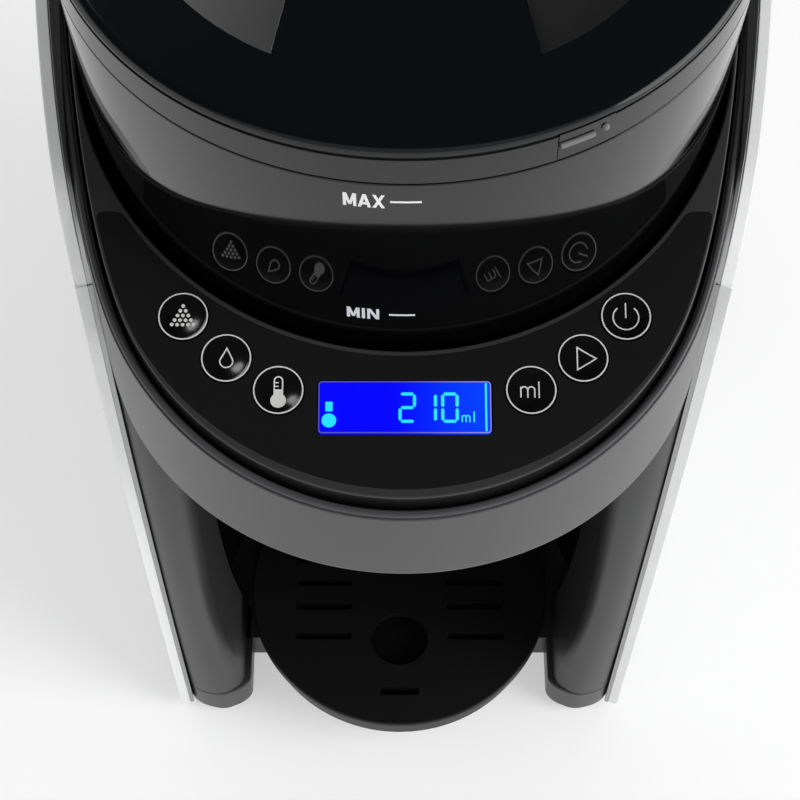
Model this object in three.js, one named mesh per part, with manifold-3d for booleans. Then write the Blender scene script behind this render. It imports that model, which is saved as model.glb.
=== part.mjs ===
// A countertop baby formula maker: a powder container over a mixing funnel, a bay for the bottle,
// a sloping control panel and a lift-out water tank behind. Millimetres, +Z up, front at -Y,
// right at +X, with the origin on the floor under the middle of the machine.
import * as THREE from 'three';
import { mergeVertices } from 'three/addons/utils/BufferGeometryUtils.js';
import Module from 'manifold-3d';

const wasm = await Module();
wasm.setup();

// Counts
const roundSides = 40;
const mediumSides = 24;
const smallSides = 12;
const arcSteps = 9;
const sideSteps = 8;
const cornerSteps = 3;
const legTipSteps = 8;

// Whole machine
const height = 335;
const gap = 0.3;
const runningGap = 0.5;
const overrun = 2;
const degree = Math.PI / 180;
const quarterTurn = 90;
const weldDistance = 0.0001;

// The round powder container sets the width and the length of the head around it
const containerRadius = 78;
const containerMargin = 7.5;
const containerSetback = 41;
const headRadiusInset = 6;
const headRadius = containerRadius - headRadiusInset;
const bandProud = 1;
const headRearMargin = 13;
const backLength = 85;
const headLength = bandProud + headRadius + containerSetback + containerRadius + headRearMargin;
const depth = headLength + backLength;
const front = -depth / 2;
const rear = depth / 2;
const headRear = front + headLength;
const headCentreY = front + bandProud + headRadius;
const containerY = headCentreY + containerSetback;
const headHalfWidth = containerRadius + containerMargin;

// Plan of the head: a round front that widens towards straight sides
const headArcAngle = 64;
const frontTangent = 30;
const sideTangent = 40;
const shoulderSetback = 61;
const shoulderY = containerY + shoulderSetback;
const headCorner = 6;
const rearCorner = 28;

// Sloping top: drops are measured down from the plane of the button film
const panelSetdown = 79.5;
const panelFront = height - panelSetdown;
const panelTiltAngle = 14;
const slopeLength = 125;
const seamDrop = 6.4;
const trimDrop = 2.6;
const bezelEdgeDrop = 2.8;
const bezelBottomDrop = 6;
const sideDrop = 1.6;

// Shell pieces
const bandWall = 2.4;
const trimOuter = 0.6;
const trimWidth = 1.5;
const grooveWidth = 1.3;
const bezelBevel = 1.8;
const sideWall = 4;
const headFrontHeight = 30.5;
const headBottom = panelFront - headFrontHeight;
const undersideThickness = 3;
const footHeight = 4;
const footRadius = 8;
const footRecess = 1.5;
const baseThickness = 12;

// Drive under the container: a hub gear, an idler and the motor's pinion in one line to the back
const wellInset = 0.4;
const wellRadius = containerRadius - wellInset;
const hubTeeth = 32;
const idlerTeeth = 20;
const pinionTeeth = 10;
const addendum = 1.1;
const dedendum = 1.5;
const gearMargin = 16.1;
const gearReach = wellRadius - gearMargin;
const gearModule = gearReach / (hubTeeth / 2 + idlerTeeth + pinionTeeth / 2);
const motorRadius = 15;

// Outlet in front of the hub gear, and the dosing wheel that turns over it
const outletRadius = 8;
const outletMargin = 11.9;
const outletOffset = gearModule * hubTeeth / 2 + addendum + outletMargin;
const pocketMargin = 19;
const wheelRadius = outletOffset + pocketMargin;

// Bay for the bottle, in front of the motor
const bayInset = 18;
const bayRadius = containerRadius - bayInset;
const linerWall = 2;
const motorMargin = 2.5;
const bayBack = containerY + gearReach - motorRadius - motorMargin;
const bayCentreY = bayBack - linerWall - bayRadius;
const legInset = 1;
const legInner = bayRadius - legInset;
const legTipSetback = 62;
const legTipY = front + legTipSetback;
const legTipRadius = 7;
const legReach = 19;
const legBack = bayCentreY + legReach;
const sideSetback = 3;
const sideFront = legTipY + sideSetback;
const legWall = 2.2;
const legFlare = 7;
const legFlareHeight = 70;
const legFootSpread = 9;
const legFootInner = legInner - legFootSpread;
const legLevelShares = [0, 0.25, 0.5, 0.75, 1];
const baseSetback = 21;
const baseFront = legTipY + baseSetback;

// Powder container and lid
const containerTaperAngle = 2.6;
const containerWall = 2.2;
const wellWall = 1.4;
const deckRise = 24;
const deckTop = headBottom + deckRise;
const deckThickness = 3;
const lidTopThickness = 2.4;
const lidLip = 2.5;
const lidLipInset = 0.5;
const skirtHeight = 8;
const skirtWall = 1.8;
const lidPlugDepth = 14;
const lidPlugWall = 1.8;
const sealHeight = 3;
const sealThickness = 1.2;
const gripDepth = 10;
const gripInset = 18.5;
const gripRadius = containerRadius - gripInset;
const gripHalfBar = 18;
const gripSplayAngle = 10;
const gripWall = 1.8;
const lugWidth = 10;
const lugThickness = 1;
const lugHeight = 2;
const lugDrop = 4.5;
const lugAngle = 27;
const knobRadius = 1.6;
const knobAngle = 31.5;

// Pockets of the wheel, stirrer and drive
const wheelHeight = 11;
const wheelPockets = 8;
const pocketRadius = 9;
const wheelBoss = 11;
const shaftHole = 9;
const socketHalf = 4.5;
const socketDepth = 7;
const postRadius = 5;
const postHeight = 24;
const armInset = 18;
const armLength = containerRadius - armInset;
const armWidth = 6;
const armHeight = 4;
const armCount = 3;
const armLift = 3;
const armAngle = 30;
const fingerHeight = 12;
const scraperHeight = 2;
const scraperWidth = 30;
const scraperInset = 4;
const scraperReach = wheelRadius - scraperInset;
const gearHeight = 6;
const gearLift = 3.5;
const rootToothShare = 0.27;
const tipToothShare = 0.13;
const hubRadius = 8;
const pinRadius = 3;
const motorHeight = 34;
const motorShaftRadius = 2;

// Mixing funnel in its drawer
const funnelTopRadius = 29;
const funnelRimWidth = 4;
const drawerSideMargin = 3;
const drawerFrontMargin = 9;
const drawerBackMargin = 5;
const drawerHalfWidth = funnelTopRadius + funnelRimWidth + drawerSideMargin;
const drawerFront = containerY - outletOffset - funnelTopRadius - funnelRimWidth - drawerFrontMargin;
const drawerBack = containerY - outletOffset + funnelTopRadius + funnelRimWidth + drawerBackMargin;
const drawerHeight = 38;
const drawerWall = 2.4;
const drawerCorner = 14;
const railWidth = 4;
const railHeight = 8;
const railLip = 3;
const railLipThickness = 2;
const flangeThickness = 2;
const flangeReach = 5;
const funnelRimThickness = 2;
const funnelWall = 2;
const spoutRadius = 7;
const spoutLength = 10;
const funnelConeHeight = 26;

// Bottle stand
const standMargin = 10;
const standRadius = bayRadius - standMargin;
const standTop = 28;
const standWall = 2.4;
const grateThickness = 3;
const grateInset = 3;
const grateHoleRadius = 9.5;
const slotInner = 16;
const slotMargin = 15;
const slotLength = standRadius - slotInner - slotMargin;
const slotWidth = 2.6;
const slotSide = slotInner + slotLength / 2;
const slotRowShares = [0.4, 0.22, 0.04, -0.14, -0.36];
const frontSlotShare = -0.76;
const frontSlotLength = 13;
const standLift = 50;
const bracketHalfWidth = 24;
const bracketReach = 5;
const bracketHeight = 30;
const hookHalfWidth = 3;
const hookX = 14;
const hookHeight = 8;
const hookHead = 3;
const hookHeadHalfWidth = 6;
const hookRaise = 14;
const guideClearance = 0.8;
const cupInset = 2;

// Water tank behind the head
const tankWall = 2.4;
const tankInset = 1.5;
const tankBottom = 150;
const tankSetdown = 23;
const tankTop = height - tankSetdown;
const tankLidThickness = 3;
const tankLidLip = 4;
const lipClearance = 1;
const lidTail = 1;
const hingePinRadius = 1.5;
const knuckleRadius = 3.4;
const knuckleHalf = 20;
const pinHalf = 29;
const valveInset = 45;
const valveY = rear - valveInset;
const valveBodyRadius = 10;
const valveBodyWall = 2;
const valveBodyDrop = 10;
const valveLip = 2;
const valveLipRadius = 4;
const valveHead = 2.5;
const valveHeadRadius = 7.2;
const valveStem = 2;
const valveStemDrop = 3;
const valveStemRise = 12;
const valveCapThickness = 2;
const flowHoleRadius = 1.8;
const flowHoleOffset = 5.4;
const springTurns = 4;
const springWire = 0.5;
const springRadius = 4.2;
const springSteps = 8;
const springSides = 6;
const cradleThickness = 4;
const cradleWall = 2.4;
const cradleCupDepth = 14;
const cradleCupWall = 2;
const cradleCupFloor = 2.4;
const hosePort = 1.6;

// Water and electric parts inside the column
const rearWall = 2.6;
const pumpRadius = 15;
const pumpSideInset = 47.5;
const pumpX = headHalfWidth - pumpSideInset;
const pumpInset = 35;
const pumpLength = 40;
const pumpBack = rear - pumpInset;
const pumpFront = pumpBack - pumpLength;
const pumpZ = 34;
const pumpFootHalf = 8;
const heaterRadius = 13;
const heaterMargin = 10;
const heaterX = motorRadius + heaterMargin + heaterRadius;
const heaterBackMargin = 10.5;
const heaterY = bayBack + heaterBackMargin;
const heaterDrop = 25;
const heaterLength = 92;
const heaterTop = headBottom - heaterDrop;
const heaterBottom = heaterTop - heaterLength;
const heaterPostRadius = 5;
const heaterInletRise = 10;
const hoseRadius = 2.5;
const hoseSides = 8;
const hoseSteps = 20;
const boardThickness = 1.6;
const powerBoardHalfWidth = 25;
const powerBoardDrop = 25;
const powerBoardTop = tankBottom - powerBoardDrop;
const powerBoardSideInset = 47.5;
const powerBoardX = powerBoardSideInset - headHalfWidth;
const transformerHalf = 9;
const transformerDepth = 17;
const transformerHeight = 18;
const transformerRise = 12;
const standoff = 6;
const standoffHalf = 3;
const standoffInset = 5;
const inletHalfWidth = 13.5;
const inletHalfHeight = 10;
const inletDepth = 24;
const inletX = powerBoardX;
const inletZ = 34;
const inletClearance = 11;
const powerBoardBottom = inletZ + inletHalfHeight + inletClearance;
const inletWall = 2;
const inletPocket = 15;
const nozzleX = 20;
const nozzleSetback = 11;
const nozzleY = containerY - outletOffset + nozzleSetback;
const nozzleRadius = 3;
const nozzleBore = 1.6;
const nozzleArm = 8;
const nozzleRise = 15;

// Control panel
const filmOffset = 4.2;
const filmThickness = 0.8;
const filmMargin = 2;
const filmInner = wellRadius + filmMargin;
const filmSetback = 69;
const filmEnd = front + filmSetback;
const buttonRadius = 5.7;
const buttonCap = 2.6;
const buttonRise = 0.3;
const buttonDish = 0.5;
const buttonFlange = 7;
const buttonFlangeThickness = 1.2;
const buttonTravel = 0.8;
const buttonStem = 1.8;
const buttonStemLength = 3.2;
const dishEdgeShare = 0.8;
const dishMiddleShare = 0.45;
const dishDepthShare = 0.7;
const buttonArcInset = 7.2;
const buttonArcRadius = headRadius - buttonArcInset;
const buttonArcSetback = 12.7;
const buttonMargin = 9.866;
const buttonPitch = 13.8545;
const leftButtons = ['powder', 'water', 'temperature'];
const rightButtons = ['power', 'start', 'volume'];
const displaySetback = 23.5;
const displayWidth = 38.4;
const buttonFirst = displayWidth / 2 + buttonMargin;
const displayLength = 12.1;
const windowThickness = 1.2;
const moduleBorder = 2.5;
const moduleThickness = 3;
const boardInset = 3;
const pegRadius = 2;
const pegAngle = 29.4;
const pegOutset = 1.8;
const pegClearance = 0.8;

// Heights worked out from the sizes above
const slopeEnd = front + slopeLength;
const baseTop = footHeight + baseThickness;
const panelHeight = (y) => panelFront + (Math.min(y, slopeEnd) - front) * Math.tan(panelTiltAngle * degree);
const lidTop = height;
const rimTop = height - lidLip - skirtHeight;
const undersideTop = headBottom + undersideThickness;
const outletY = containerY - outletOffset;
const displayY = front + displaySetback;

const finishes = {
  satinGrey: { color: 0x4a4a4c, roughness: 0.35, metalness: 0 },
  silver: { color: 0xa9abad, roughness: 0.3, metalness: 0.6 },
  glossBlack: { color: 0x08090a, roughness: 0.1, metalness: 0 },
  mattBlack: { color: 0x1b1b1c, roughness: 0.7, metalness: 0 },
  smoke: { color: 0x15171a, roughness: 0.08, metalness: 0, transparent: true, opacity: 0.75 },
  display: { color: 0x0030ff, roughness: 0.2, metalness: 0 },
  rubber: { color: 0x101010, roughness: 0.9, metalness: 0 },
  innerGrey: { color: 0x8a8c8e, roughness: 0.6, metalness: 0 },
  white: { color: 0xe8e8e6, roughness: 0.5, metalness: 0 },
  steel: { color: 0xb8babc, roughness: 0.25, metalness: 1 },
  board: { color: 0x1c5a34, roughness: 0.5, metalness: 0 },
  clearHose: { color: 0xd9dcdd, roughness: 0.3, metalness: 0 },
};

// A geometry as a solid that can be cut and joined
function toSolid(geometry) {
  const bare = geometry.clone();
  bare.deleteAttribute('normal');
  bare.deleteAttribute('uv');
  const merged = mergeVertices(bare, weldDistance);
  const mesh = new wasm.Mesh({
    numProp: 3,
    vertProperties: Float32Array.from(merged.attributes.position.array),
    triVerts: Uint32Array.from(merged.index.array),
  });
  return new wasm.Manifold(mesh);
}

function toGeometry(solid) {
  const mesh = solid.getMesh();
  const geometry = new THREE.BufferGeometry();
  geometry.setAttribute('position', new THREE.BufferAttribute(mesh.vertProperties, mesh.numProp));
  geometry.setIndex(new THREE.BufferAttribute(mesh.triVerts, 1));
  geometry.computeVertexNormals();
  return geometry;
}

// Joins the corners of a flat outline to a solid between two heights
function prism(outline, bottom, top) {
  const shape = new THREE.Shape(outline);
  const geometry = new THREE.ExtrudeGeometry(shape, { depth: top - bottom, bevelEnabled: false });
  return toSolid(geometry.translate(0, 0, bottom));
}

function block(x0, x1, y0, y1, z0, z1) {
  const geometry = new THREE.BoxGeometry(x1 - x0, y1 - y0, z1 - z0);
  return toSolid(geometry.translate((x0 + x1) / 2, (y0 + y1) / 2, (z0 + z1) / 2));
}

function cylinder(x, y, radius, bottom, top, sides = mediumSides) {
  const geometry = new THREE.CylinderGeometry(radius, radius, top - bottom, sides);
  return toSolid(geometry.rotateX(Math.PI / 2).translate(x, y, (bottom + top) / 2));
}

// Turns a profile of [radius, height] corners about the upright line through (x, y)
function turned(profile, x, y, sides = mediumSides) {
  const corners = profile.map(([radius, level]) => new THREE.Vector2(radius, level));
  const geometry = new THREE.LatheGeometry(corners, sides).rotateX(Math.PI / 2);
  return toSolid(geometry.translate(x, y, 0));
}

// A solid through rings of corners, each ring with the same count, from the lowest to the highest
function loft(rings) {
  const count = rings[0].length;
  const position = [];
  const index = [];
  for (const ring of rings) {
    for (const corner of ring) position.push(corner.x, corner.y, corner.z);
  }
  for (let level = 0; level + 1 < rings.length; level += 1) {
    for (let i = 0; i < count; i += 1) {
      const next = (i + 1) % count;
      const low = level * count;
      const high = low + count;
      index.push(low + i, low + next, high + next, low + i, high + next, high + i);
    }
  }
  const flat = (ring) => ring.map((corner) => new THREE.Vector2(corner.x, corner.y));
  const lid = (ring) => THREE.ShapeUtils.triangulateShape(flat(ring), []);
  const last = (rings.length - 1) * count;
  for (const [a, b, c] of lid(rings[0])) index.push(a, c, b);
  for (const [a, b, c] of lid(rings[rings.length - 1])) index.push(last + a, last + b, last + c);
  const geometry = new THREE.BufferGeometry();
  geometry.setAttribute('position', new THREE.Float32BufferAttribute(position, 3));
  geometry.setIndex(index);
  return toSolid(geometry);
}

const union = (solids) => solids.reduce((whole, solid) => whole.add(solid));
const cutAll = (body, tools) => tools.reduce((whole, tool) => whole.subtract(tool), body);
const mirrored = (solid) => solid.mirror([1, 0, 0]);

// Plan outline of the machine from the round front to a straight back with round corners
function planOutline(back, corner) {
  const start = -Math.PI / 2;
  const end = start + headArcAngle * degree;
  const arc = new THREE.EllipseCurve(0, headCentreY, headRadius, headRadius, start, end);
  const join = new THREE.Vector2(headRadius * Math.cos(end), headCentreY + headRadius * Math.sin(end));
  const along = new THREE.Vector2(-Math.sin(end), Math.cos(end));
  const side = new THREE.CubicBezierCurve(
    join,
    join.clone().addScaledVector(along, frontTangent),
    new THREE.Vector2(headHalfWidth, shoulderY - sideTangent),
    new THREE.Vector2(headHalfWidth, shoulderY),
  );
  const centre = new THREE.Vector2(headHalfWidth - corner, back - corner);
  const turn = new THREE.EllipseCurve(centre.x, centre.y, corner, corner, 0, Math.PI / 2);
  const half = [
    ...arc.getPoints(arcSteps),
    ...side.getPoints(sideSteps).slice(1),
    ...turn.getPoints(cornerSteps),
    new THREE.Vector2(0, back),
  ];
  const other = half.slice(1, -1).reverse().map((point) => new THREE.Vector2(-point.x, point.y));
  return [...half, ...other];
}

// The same outline moved outwards (or inwards for a negative distance) along its normals
function offset(outline, distance) {
  return outline.map((point, i) => {
    const before = outline[(i + outline.length - 1) % outline.length];
    const after = outline[(i + 1) % outline.length];
    const along = after.clone().sub(before).normalize();
    return new THREE.Vector2(point.x + along.y * distance, point.y - along.x * distance);
  });
}

const headPlan = planOutline(headRear, headCorner);
const bodyPlan = planOutline(rear - sideWall - bandProud, rearCorner);

// Everything under the sloping top, lowered by a drop
function under(drop) {
  const back = rear + overrun;
  const ahead = front - overrun;
  const profile = [
    new THREE.Vector2(ahead, -overrun),
    new THREE.Vector2(back, -overrun),
    new THREE.Vector2(back, panelHeight(back) - drop),
    new THREE.Vector2(slopeEnd, panelHeight(slopeEnd) - drop),
    new THREE.Vector2(ahead, panelHeight(ahead) - drop),
  ];
  const width = depth;
  const shape = new THREE.Shape(profile);
  const geometry = new THREE.ExtrudeGeometry(shape, { depth: width, bevelEnabled: false });
  geometry.translate(0, 0, -width / 2);
  geometry.applyMatrix4(new THREE.Matrix4().set(0, 0, 1, 0, 1, 0, 0, 0, 0, 1, 0, 0, 0, 0, 0, 1));
  return toSolid(geometry);
}

// A round or boxy tool that stands square to the sloping panel at a place on it
function onPanel(geometry, x, y, lift = 0) {
  geometry.translate(0, 0, lift);
  geometry.rotateX(panelTiltAngle * degree);
  return toSolid(geometry.translate(x, y, panelHeight(y)));
}

function panelDisc(x, y, radius, bottom, top, sides = mediumSides) {
  const geometry = new THREE.CylinderGeometry(radius, radius, top - bottom, sides).rotateX(Math.PI / 2);
  return onPanel(geometry, x, y, (bottom + top) / 2);
}

function panelBlock(x, y, width, length, bottom, top) {
  return onPanel(new THREE.BoxGeometry(width, length, top - bottom), x, y, (bottom + top) / 2);
}

const machine = new THREE.Group();

function place(name, solid, finish) {
  const mesh = new THREE.Mesh(toGeometry(solid), new THREE.MeshStandardMaterial(finishes[finish]));
  mesh.name = name;
  machine.add(mesh);
  return mesh;
}

const lidRadius = containerRadius;
const containerRadiusAt = (z) => containerRadius - (rimTop - z) * Math.tan(containerTaperAngle * degree);

// Base with its rubber feet
const footPlaces = [
  { name: 'front_left_foot', x: -(legInner + legTipRadius - gap), y: legTipY + legTipRadius + gap },
  { name: 'front_right_foot', x: legInner + legTipRadius - gap, y: legTipY + legTipRadius + gap },
  { name: 'rear_left_foot', x: -(headHalfWidth - rearCorner), y: rear - rearCorner },
  { name: 'rear_right_foot', x: headHalfWidth - rearCorner, y: rear - rearCorner },
];

// How far right an outline reaches at a given place along the machine
function reachAt(outline, y) {
  const i = outline.findIndex((point) => point.x > 0 && point.y > y);
  const before = outline[i - 1];
  const after = outline[i];
  return before.x + (after.x - before.x) * (y - before.y) / (after.y - before.y);
}

// Right leg in plan: straight inside, a round tip and an outside that follows the head's plan
function legRing(inner, z) {
  const tipY = legTipY + legTipRadius;
  const plan = offset(bodyPlan, bandProud);
  const outside = plan.filter((p) => p.x > 0 && p.y > tipY && p.y < legBack);
  const tipOuter = reachAt(plan, tipY);
  const tip = new THREE.EllipseCurve((inner + tipOuter) / 2, tipY, (tipOuter - inner) / 2, legTipRadius,
    Math.PI, 2 * Math.PI).getPoints(legTipSteps);
  const corners = [new THREE.Vector2(inner, legBack), ...tip, ...outside];
  corners.push(new THREE.Vector2(reachAt(plan, legBack), legBack));
  return corners.map((p) => new THREE.Vector3(p.x, p.y, z));
}

function makeBase() {
  const bottom = footHeight;
  const tipY = legTipY + legTipRadius;
  const plate = prism(offset(bodyPlan, bandProud), bottom, baseTop)
    .subtract(block(-depth, depth, front - overrun, baseFront, bottom - overrun, baseTop + overrun));
  const foot = loft([legRing(legFootInner, bottom), legRing(legFootInner, baseTop)]);
  const ahead = foot.subtract(block(0, depth, tipY + headRadius, rear, bottom - overrun, baseTop + overrun));
  const recesses = footPlaces.map(({ x, y }) => cylinder(x, y, footRadius - legWall + gap,
    bottom - overrun, bottom + footRecess, smallSides));
  return cutAll(union([plate, ahead, mirrored(ahead)]), recesses);
}

function makeFoot({ x, y }) {
  const stubTop = footHeight + footRecess - gap;
  const stub = cylinder(x, y, footRadius - legWall, footHeight - gap - overrun, stubTop, smallSides);
  return cylinder(x, y, footRadius - 1.5 * gap, 0, footHeight - gap, smallSides).add(stub);
}

function makeLeg() {
  const bottom = baseTop + gap;
  const top = headBottom - gap;
  const inner = (share) => legInner - legFlare * (1 - share) ** 2;
  const rings = legLevelShares.map((share) => legRing(inner(share), bottom + legFlareHeight * share));
  rings.push(legRing(legInner, top));
  const pocket = block(legInner + legWall, legInner + 2 * legTipRadius - legWall - gap,
    legTipY + legTipRadius, legBack + overrun, bottom + legWall, top - legWall);
  const linerRadius = bayRadius + linerWall + gap;
  const liner = cylinder(0, bayCentreY, linerRadius, bottom - overrun, top + overrun, roundSides)
    .intersect(block(0, depth, bayCentreY, rear, 0, height));
  return loft(rings).subtract(pocket).subtract(liner);
}

const hookBottom = standTop + hookRaise;

// Half-round back wall of the bay, with two upright slots for the stand's hooks
function makeLiner() {
  const ring = cylinder(0, bayCentreY, bayRadius + linerWall, baseTop + gap, headBottom - gap, roundSides)
    .subtract(cylinder(0, bayCentreY, bayRadius, 0, height, roundSides));
  const half = ring.intersect(block(-depth, depth, bayCentreY + gap, rear, 0, height));
  const slots = [-1, 1].map((side) => block(
    side * hookX - hookHalfWidth - guideClearance, side * hookX + hookHalfWidth + guideClearance,
    bayCentreY + bayRadius / 2, rear,
    hookBottom - guideClearance, hookBottom + hookHeight + standLift + guideClearance));
  return cutAll(half, slots);
}

function makeSidePanel() {
  const inner = bandProud + gap;
  const ring = prism(offset(bodyPlan, inner + sideWall), footHeight + gap, height)
    .subtract(prism(offset(bodyPlan, inner), 0, height + overrun));
  return ring.intersect(block(0, depth, sideFront, headRear, 0, height)).intersect(under(sideDrop));
}

function makeBand() {
  const outer = prism(offset(headPlan, bandProud), headBottom, height);
  const inner = prism(offset(headPlan, bandProud - bandWall), headBottom - overrun, height + overrun);
  return outer.subtract(inner).intersect(under(seamDrop + gap));
}

function makeTrim() {
  const outer = prism(offset(headPlan, trimOuter), headBottom, height);
  const inner = prism(offset(headPlan, trimOuter - trimWidth), headBottom - overrun, height + overrun);
  return outer.subtract(inner).intersect(under(trimDrop)).subtract(under(seamDrop));
}

const bezelOffset = trimOuter - trimWidth - grooveWidth;

// The crescent of film that carries the buttons' signs, lowered by drops and grown by an edge
function filmCrescent(edge, topDrop, bottomDrop) {
  const outer = prism(offset(bodyPlan, -filmOffset + edge), 0, height);
  const inner = cylinder(0, containerY, filmInner - edge, -overrun, height + overrun, roundSides);
  const past = block(-depth, depth, filmEnd + edge, rear, -overrun, height + overrun);
  return cutAll(outer, [inner, past]).intersect(under(topDrop)).subtract(under(bottomDrop));
}

// A place on the arc that the buttons share, at a turn below the line across the machine
function arcPlace(radius, turn) {
  const y = headCentreY + buttonArcSetback - radius * Math.sin(turn * degree);
  return { x: radius * Math.cos(turn * degree), y };
}

function buttonSpots() {
  const row = (names, side) => names.map((name, i) => {
    const along = buttonFirst + (names.length - 1 - i) * buttonPitch;
    const { x, y } = arcPlace(buttonArcRadius, quarterTurn - along / (buttonArcRadius * degree));
    return { name: `${name}_button`, x: side * x, y };
  });
  return [...row(leftButtons, -1), ...row(rightButtons, 1)];
}

function makeBezel() {
  const edge = prism(offset(headPlan, bezelOffset), 0, height).intersect(under(bezelEdgeDrop));
  const plateau = prism(offset(headPlan, bezelOffset - bezelBevel), 0, height).intersect(under(0));
  const plate = edge.add(plateau).subtract(under(bezelBottomDrop));
  const tools = [
    cylinder(0, containerY, wellRadius, -overrun, height + overrun, roundSides),
    filmCrescent(gap, -overrun, filmThickness + gap),
    panelBlock(0, displayY, displayWidth + 2 * gap, displayLength + 2 * gap, -height, height),
  ];
  for (const { x, y } of buttonSpots()) {
    tools.push(panelDisc(x, y, buttonRadius + runningGap, -bezelBottomDrop * 2, overrun, smallSides));
    tools.push(panelDisc(x, y, buttonFlange + runningGap, -bezelBottomDrop * 2,
      -buttonCap + gap, smallSides));
  }
  return cutAll(plate, tools);
}

function makeFilm() {
  const tools = buttonSpots().map(({ x, y }) => panelDisc(x, y, buttonRadius + runningGap, -overrun, overrun,
    smallSides));
  tools.push(panelBlock(0, displayY, displayWidth + 2 * gap, displayLength + 2 * gap, -overrun, overrun));
  return cutAll(filmCrescent(0, 0, filmThickness), tools);
}

// A dished cap with a flange under the panel and a short stem down to its switch
function makeButton(x, y) {
  const capBottom = -buttonCap;
  const flangeBottom = capBottom - buttonFlangeThickness;
  const profile = [
    [0, flangeBottom - buttonStemLength],
    [buttonStem, flangeBottom - buttonStemLength],
    [buttonStem, flangeBottom],
    [buttonFlange, flangeBottom],
    [buttonFlange, capBottom],
    [buttonRadius, capBottom],
    [buttonRadius, buttonRise],
    [buttonRadius * dishEdgeShare, buttonRise],
    [buttonRadius * dishMiddleShare, buttonRise - buttonDish * dishDepthShare],
    [0, buttonRise - buttonDish],
  ].map(([r, z]) => new THREE.Vector2(r, z));
  return onPanel(new THREE.LatheGeometry(profile, smallSides).rotateX(Math.PI / 2), x, y);
}

function makeWindow() {
  return panelBlock(0, displayY, displayWidth, displayLength, -windowThickness, 0);
}

function makeDisplayModule() {
  const border = 2 * moduleBorder;
  const bottom = -bezelBottomDrop - moduleThickness / 2 + gap;
  const glass = panelBlock(0, displayY, displayWidth, displayLength, bottom, -windowThickness - gap);
  return glass.add(panelBlock(0, displayY, displayWidth + border, displayLength + border, bottom,
    -bezelBottomDrop - gap));
}

const boardDrop = buttonCap + buttonFlangeThickness + buttonStemLength + buttonTravel + gap;

function makeControlBoard() {
  return filmCrescent(-boardInset, boardDrop, boardDrop + boardThickness);
}

// Four pegs under the panel that hold the board
function makePegs() {
  const beside = displayWidth / 2 + moduleBorder + pegRadius + pegClearance;
  const spots = [
    arcPlace(buttonArcRadius + pegOutset, pegAngle),
    { x: beside, y: displayY - displayLength / 2 },
  ];
  const pegTop = -bezelBottomDrop / 2;
  const right = spots.map(({ x, y }) => panelDisc(x, y, pegRadius, gap - boardDrop, pegTop, smallSides));
  return union([...right, ...right.map(mirrored)]);
}

// Floor of the head, with the powder chute's hole, the motor's hole and two rails for the drawer
const hubY = containerY;
const idlerY = hubY + gearModule * (hubTeeth + idlerTeeth) / 2;
const motorY = idlerY + gearModule * (idlerTeeth + pinionTeeth) / 2;
const chuteWall = wellWall;
const railBack = drawerBack - drawerCorner;
const flangeTop = headBottom - railHeight + railLipThickness + runningGap + flangeThickness;

function makeUnderside() {
  const plate = prism(offset(headPlan, bandProud - bandWall - gap), headBottom, undersideTop);
  const web = drawerHalfWidth + flangeReach + runningGap;
  const rails = [-1, 1].flatMap((side) => {
    const outside = side * (web + railWidth);
    const lipInside = side * (web - railLip);
    const across = (a, b) => [Math.min(a, b), Math.max(a, b)];
    return [
      block(...across(side * web, outside), drawerFront, railBack, headBottom - railHeight, headBottom),
      block(...across(lipInside, outside), drawerFront, railBack,
        headBottom - railHeight, headBottom - railHeight + railLipThickness),
    ];
  });
  const tools = [
    cylinder(0, outletY, outletRadius + chuteWall + gap, 0, height),
    cylinder(0, motorY, motorShaftRadius * 2, 0, height, smallSides),
    cylinder(nozzleX, nozzleY, nozzleRadius + gap, 0, height, smallSides),
    cylinder(heaterX, heaterY, hoseRadius + runningGap, 0, height, smallSides),
  ];
  return cutAll(union([plate, ...rails]), tools);
}

// The well that the container drops into: a deck, a wall, a skirt down to the head's floor and the chute
function makeWell() {
  const bottom = undersideTop + gap;
  const deckBottom = deckTop - deckThickness;
  const outer = wellRadius + wellWall;
  const skirt = wellRadius - wellWall;
  const wall = turned([
    [0, deckBottom], [outer, deckBottom], [outer, height],
    [wellRadius, height], [wellRadius, deckTop], [0, deckTop],
  ], 0, containerY, roundSides).intersect(under(bezelBottomDrop + gap));
  const ring = cylinder(0, containerY, skirt, bottom, deckTop - gap, roundSides)
    .subtract(cylinder(0, containerY, skirt - wellWall, bottom - overrun, deckBottom, roundSides));
  const chute = cylinder(0, outletY, outletRadius + chuteWall, headBottom + gap, deckTop - gap);
  const tools = [
    cylinder(0, outletY, outletRadius, 0, height),
    cylinder(0, hubY, hubRadius + runningGap, 0, height),
  ];
  return cutAll(union([wall, ring, chute]), tools);
}

// Powder container: a tapered cup with a hole over the hub and an outlet over the chute
function makeContainer() {
  const bottom = deckTop + gap;
  const floorTop = bottom + containerWall;
  const outside = (z) => containerRadiusAt(z);
  const cup = turned([
    [0, bottom], [outside(bottom), bottom], [outside(rimTop), rimTop],
    [outside(rimTop) - containerWall, rimTop], [outside(floorTop) - containerWall, floorTop], [0, floorTop],
  ], 0, containerY, roundSides);
  return cutAll(cup, [
    cylinder(0, outletY, outletRadius, 0, floorTop + overrun),
    cylinder(0, hubY, shaftHole, 0, floorTop + overrun),
  ]);
}

const wheelBottom = deckTop + gap + containerWall + gap;

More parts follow.
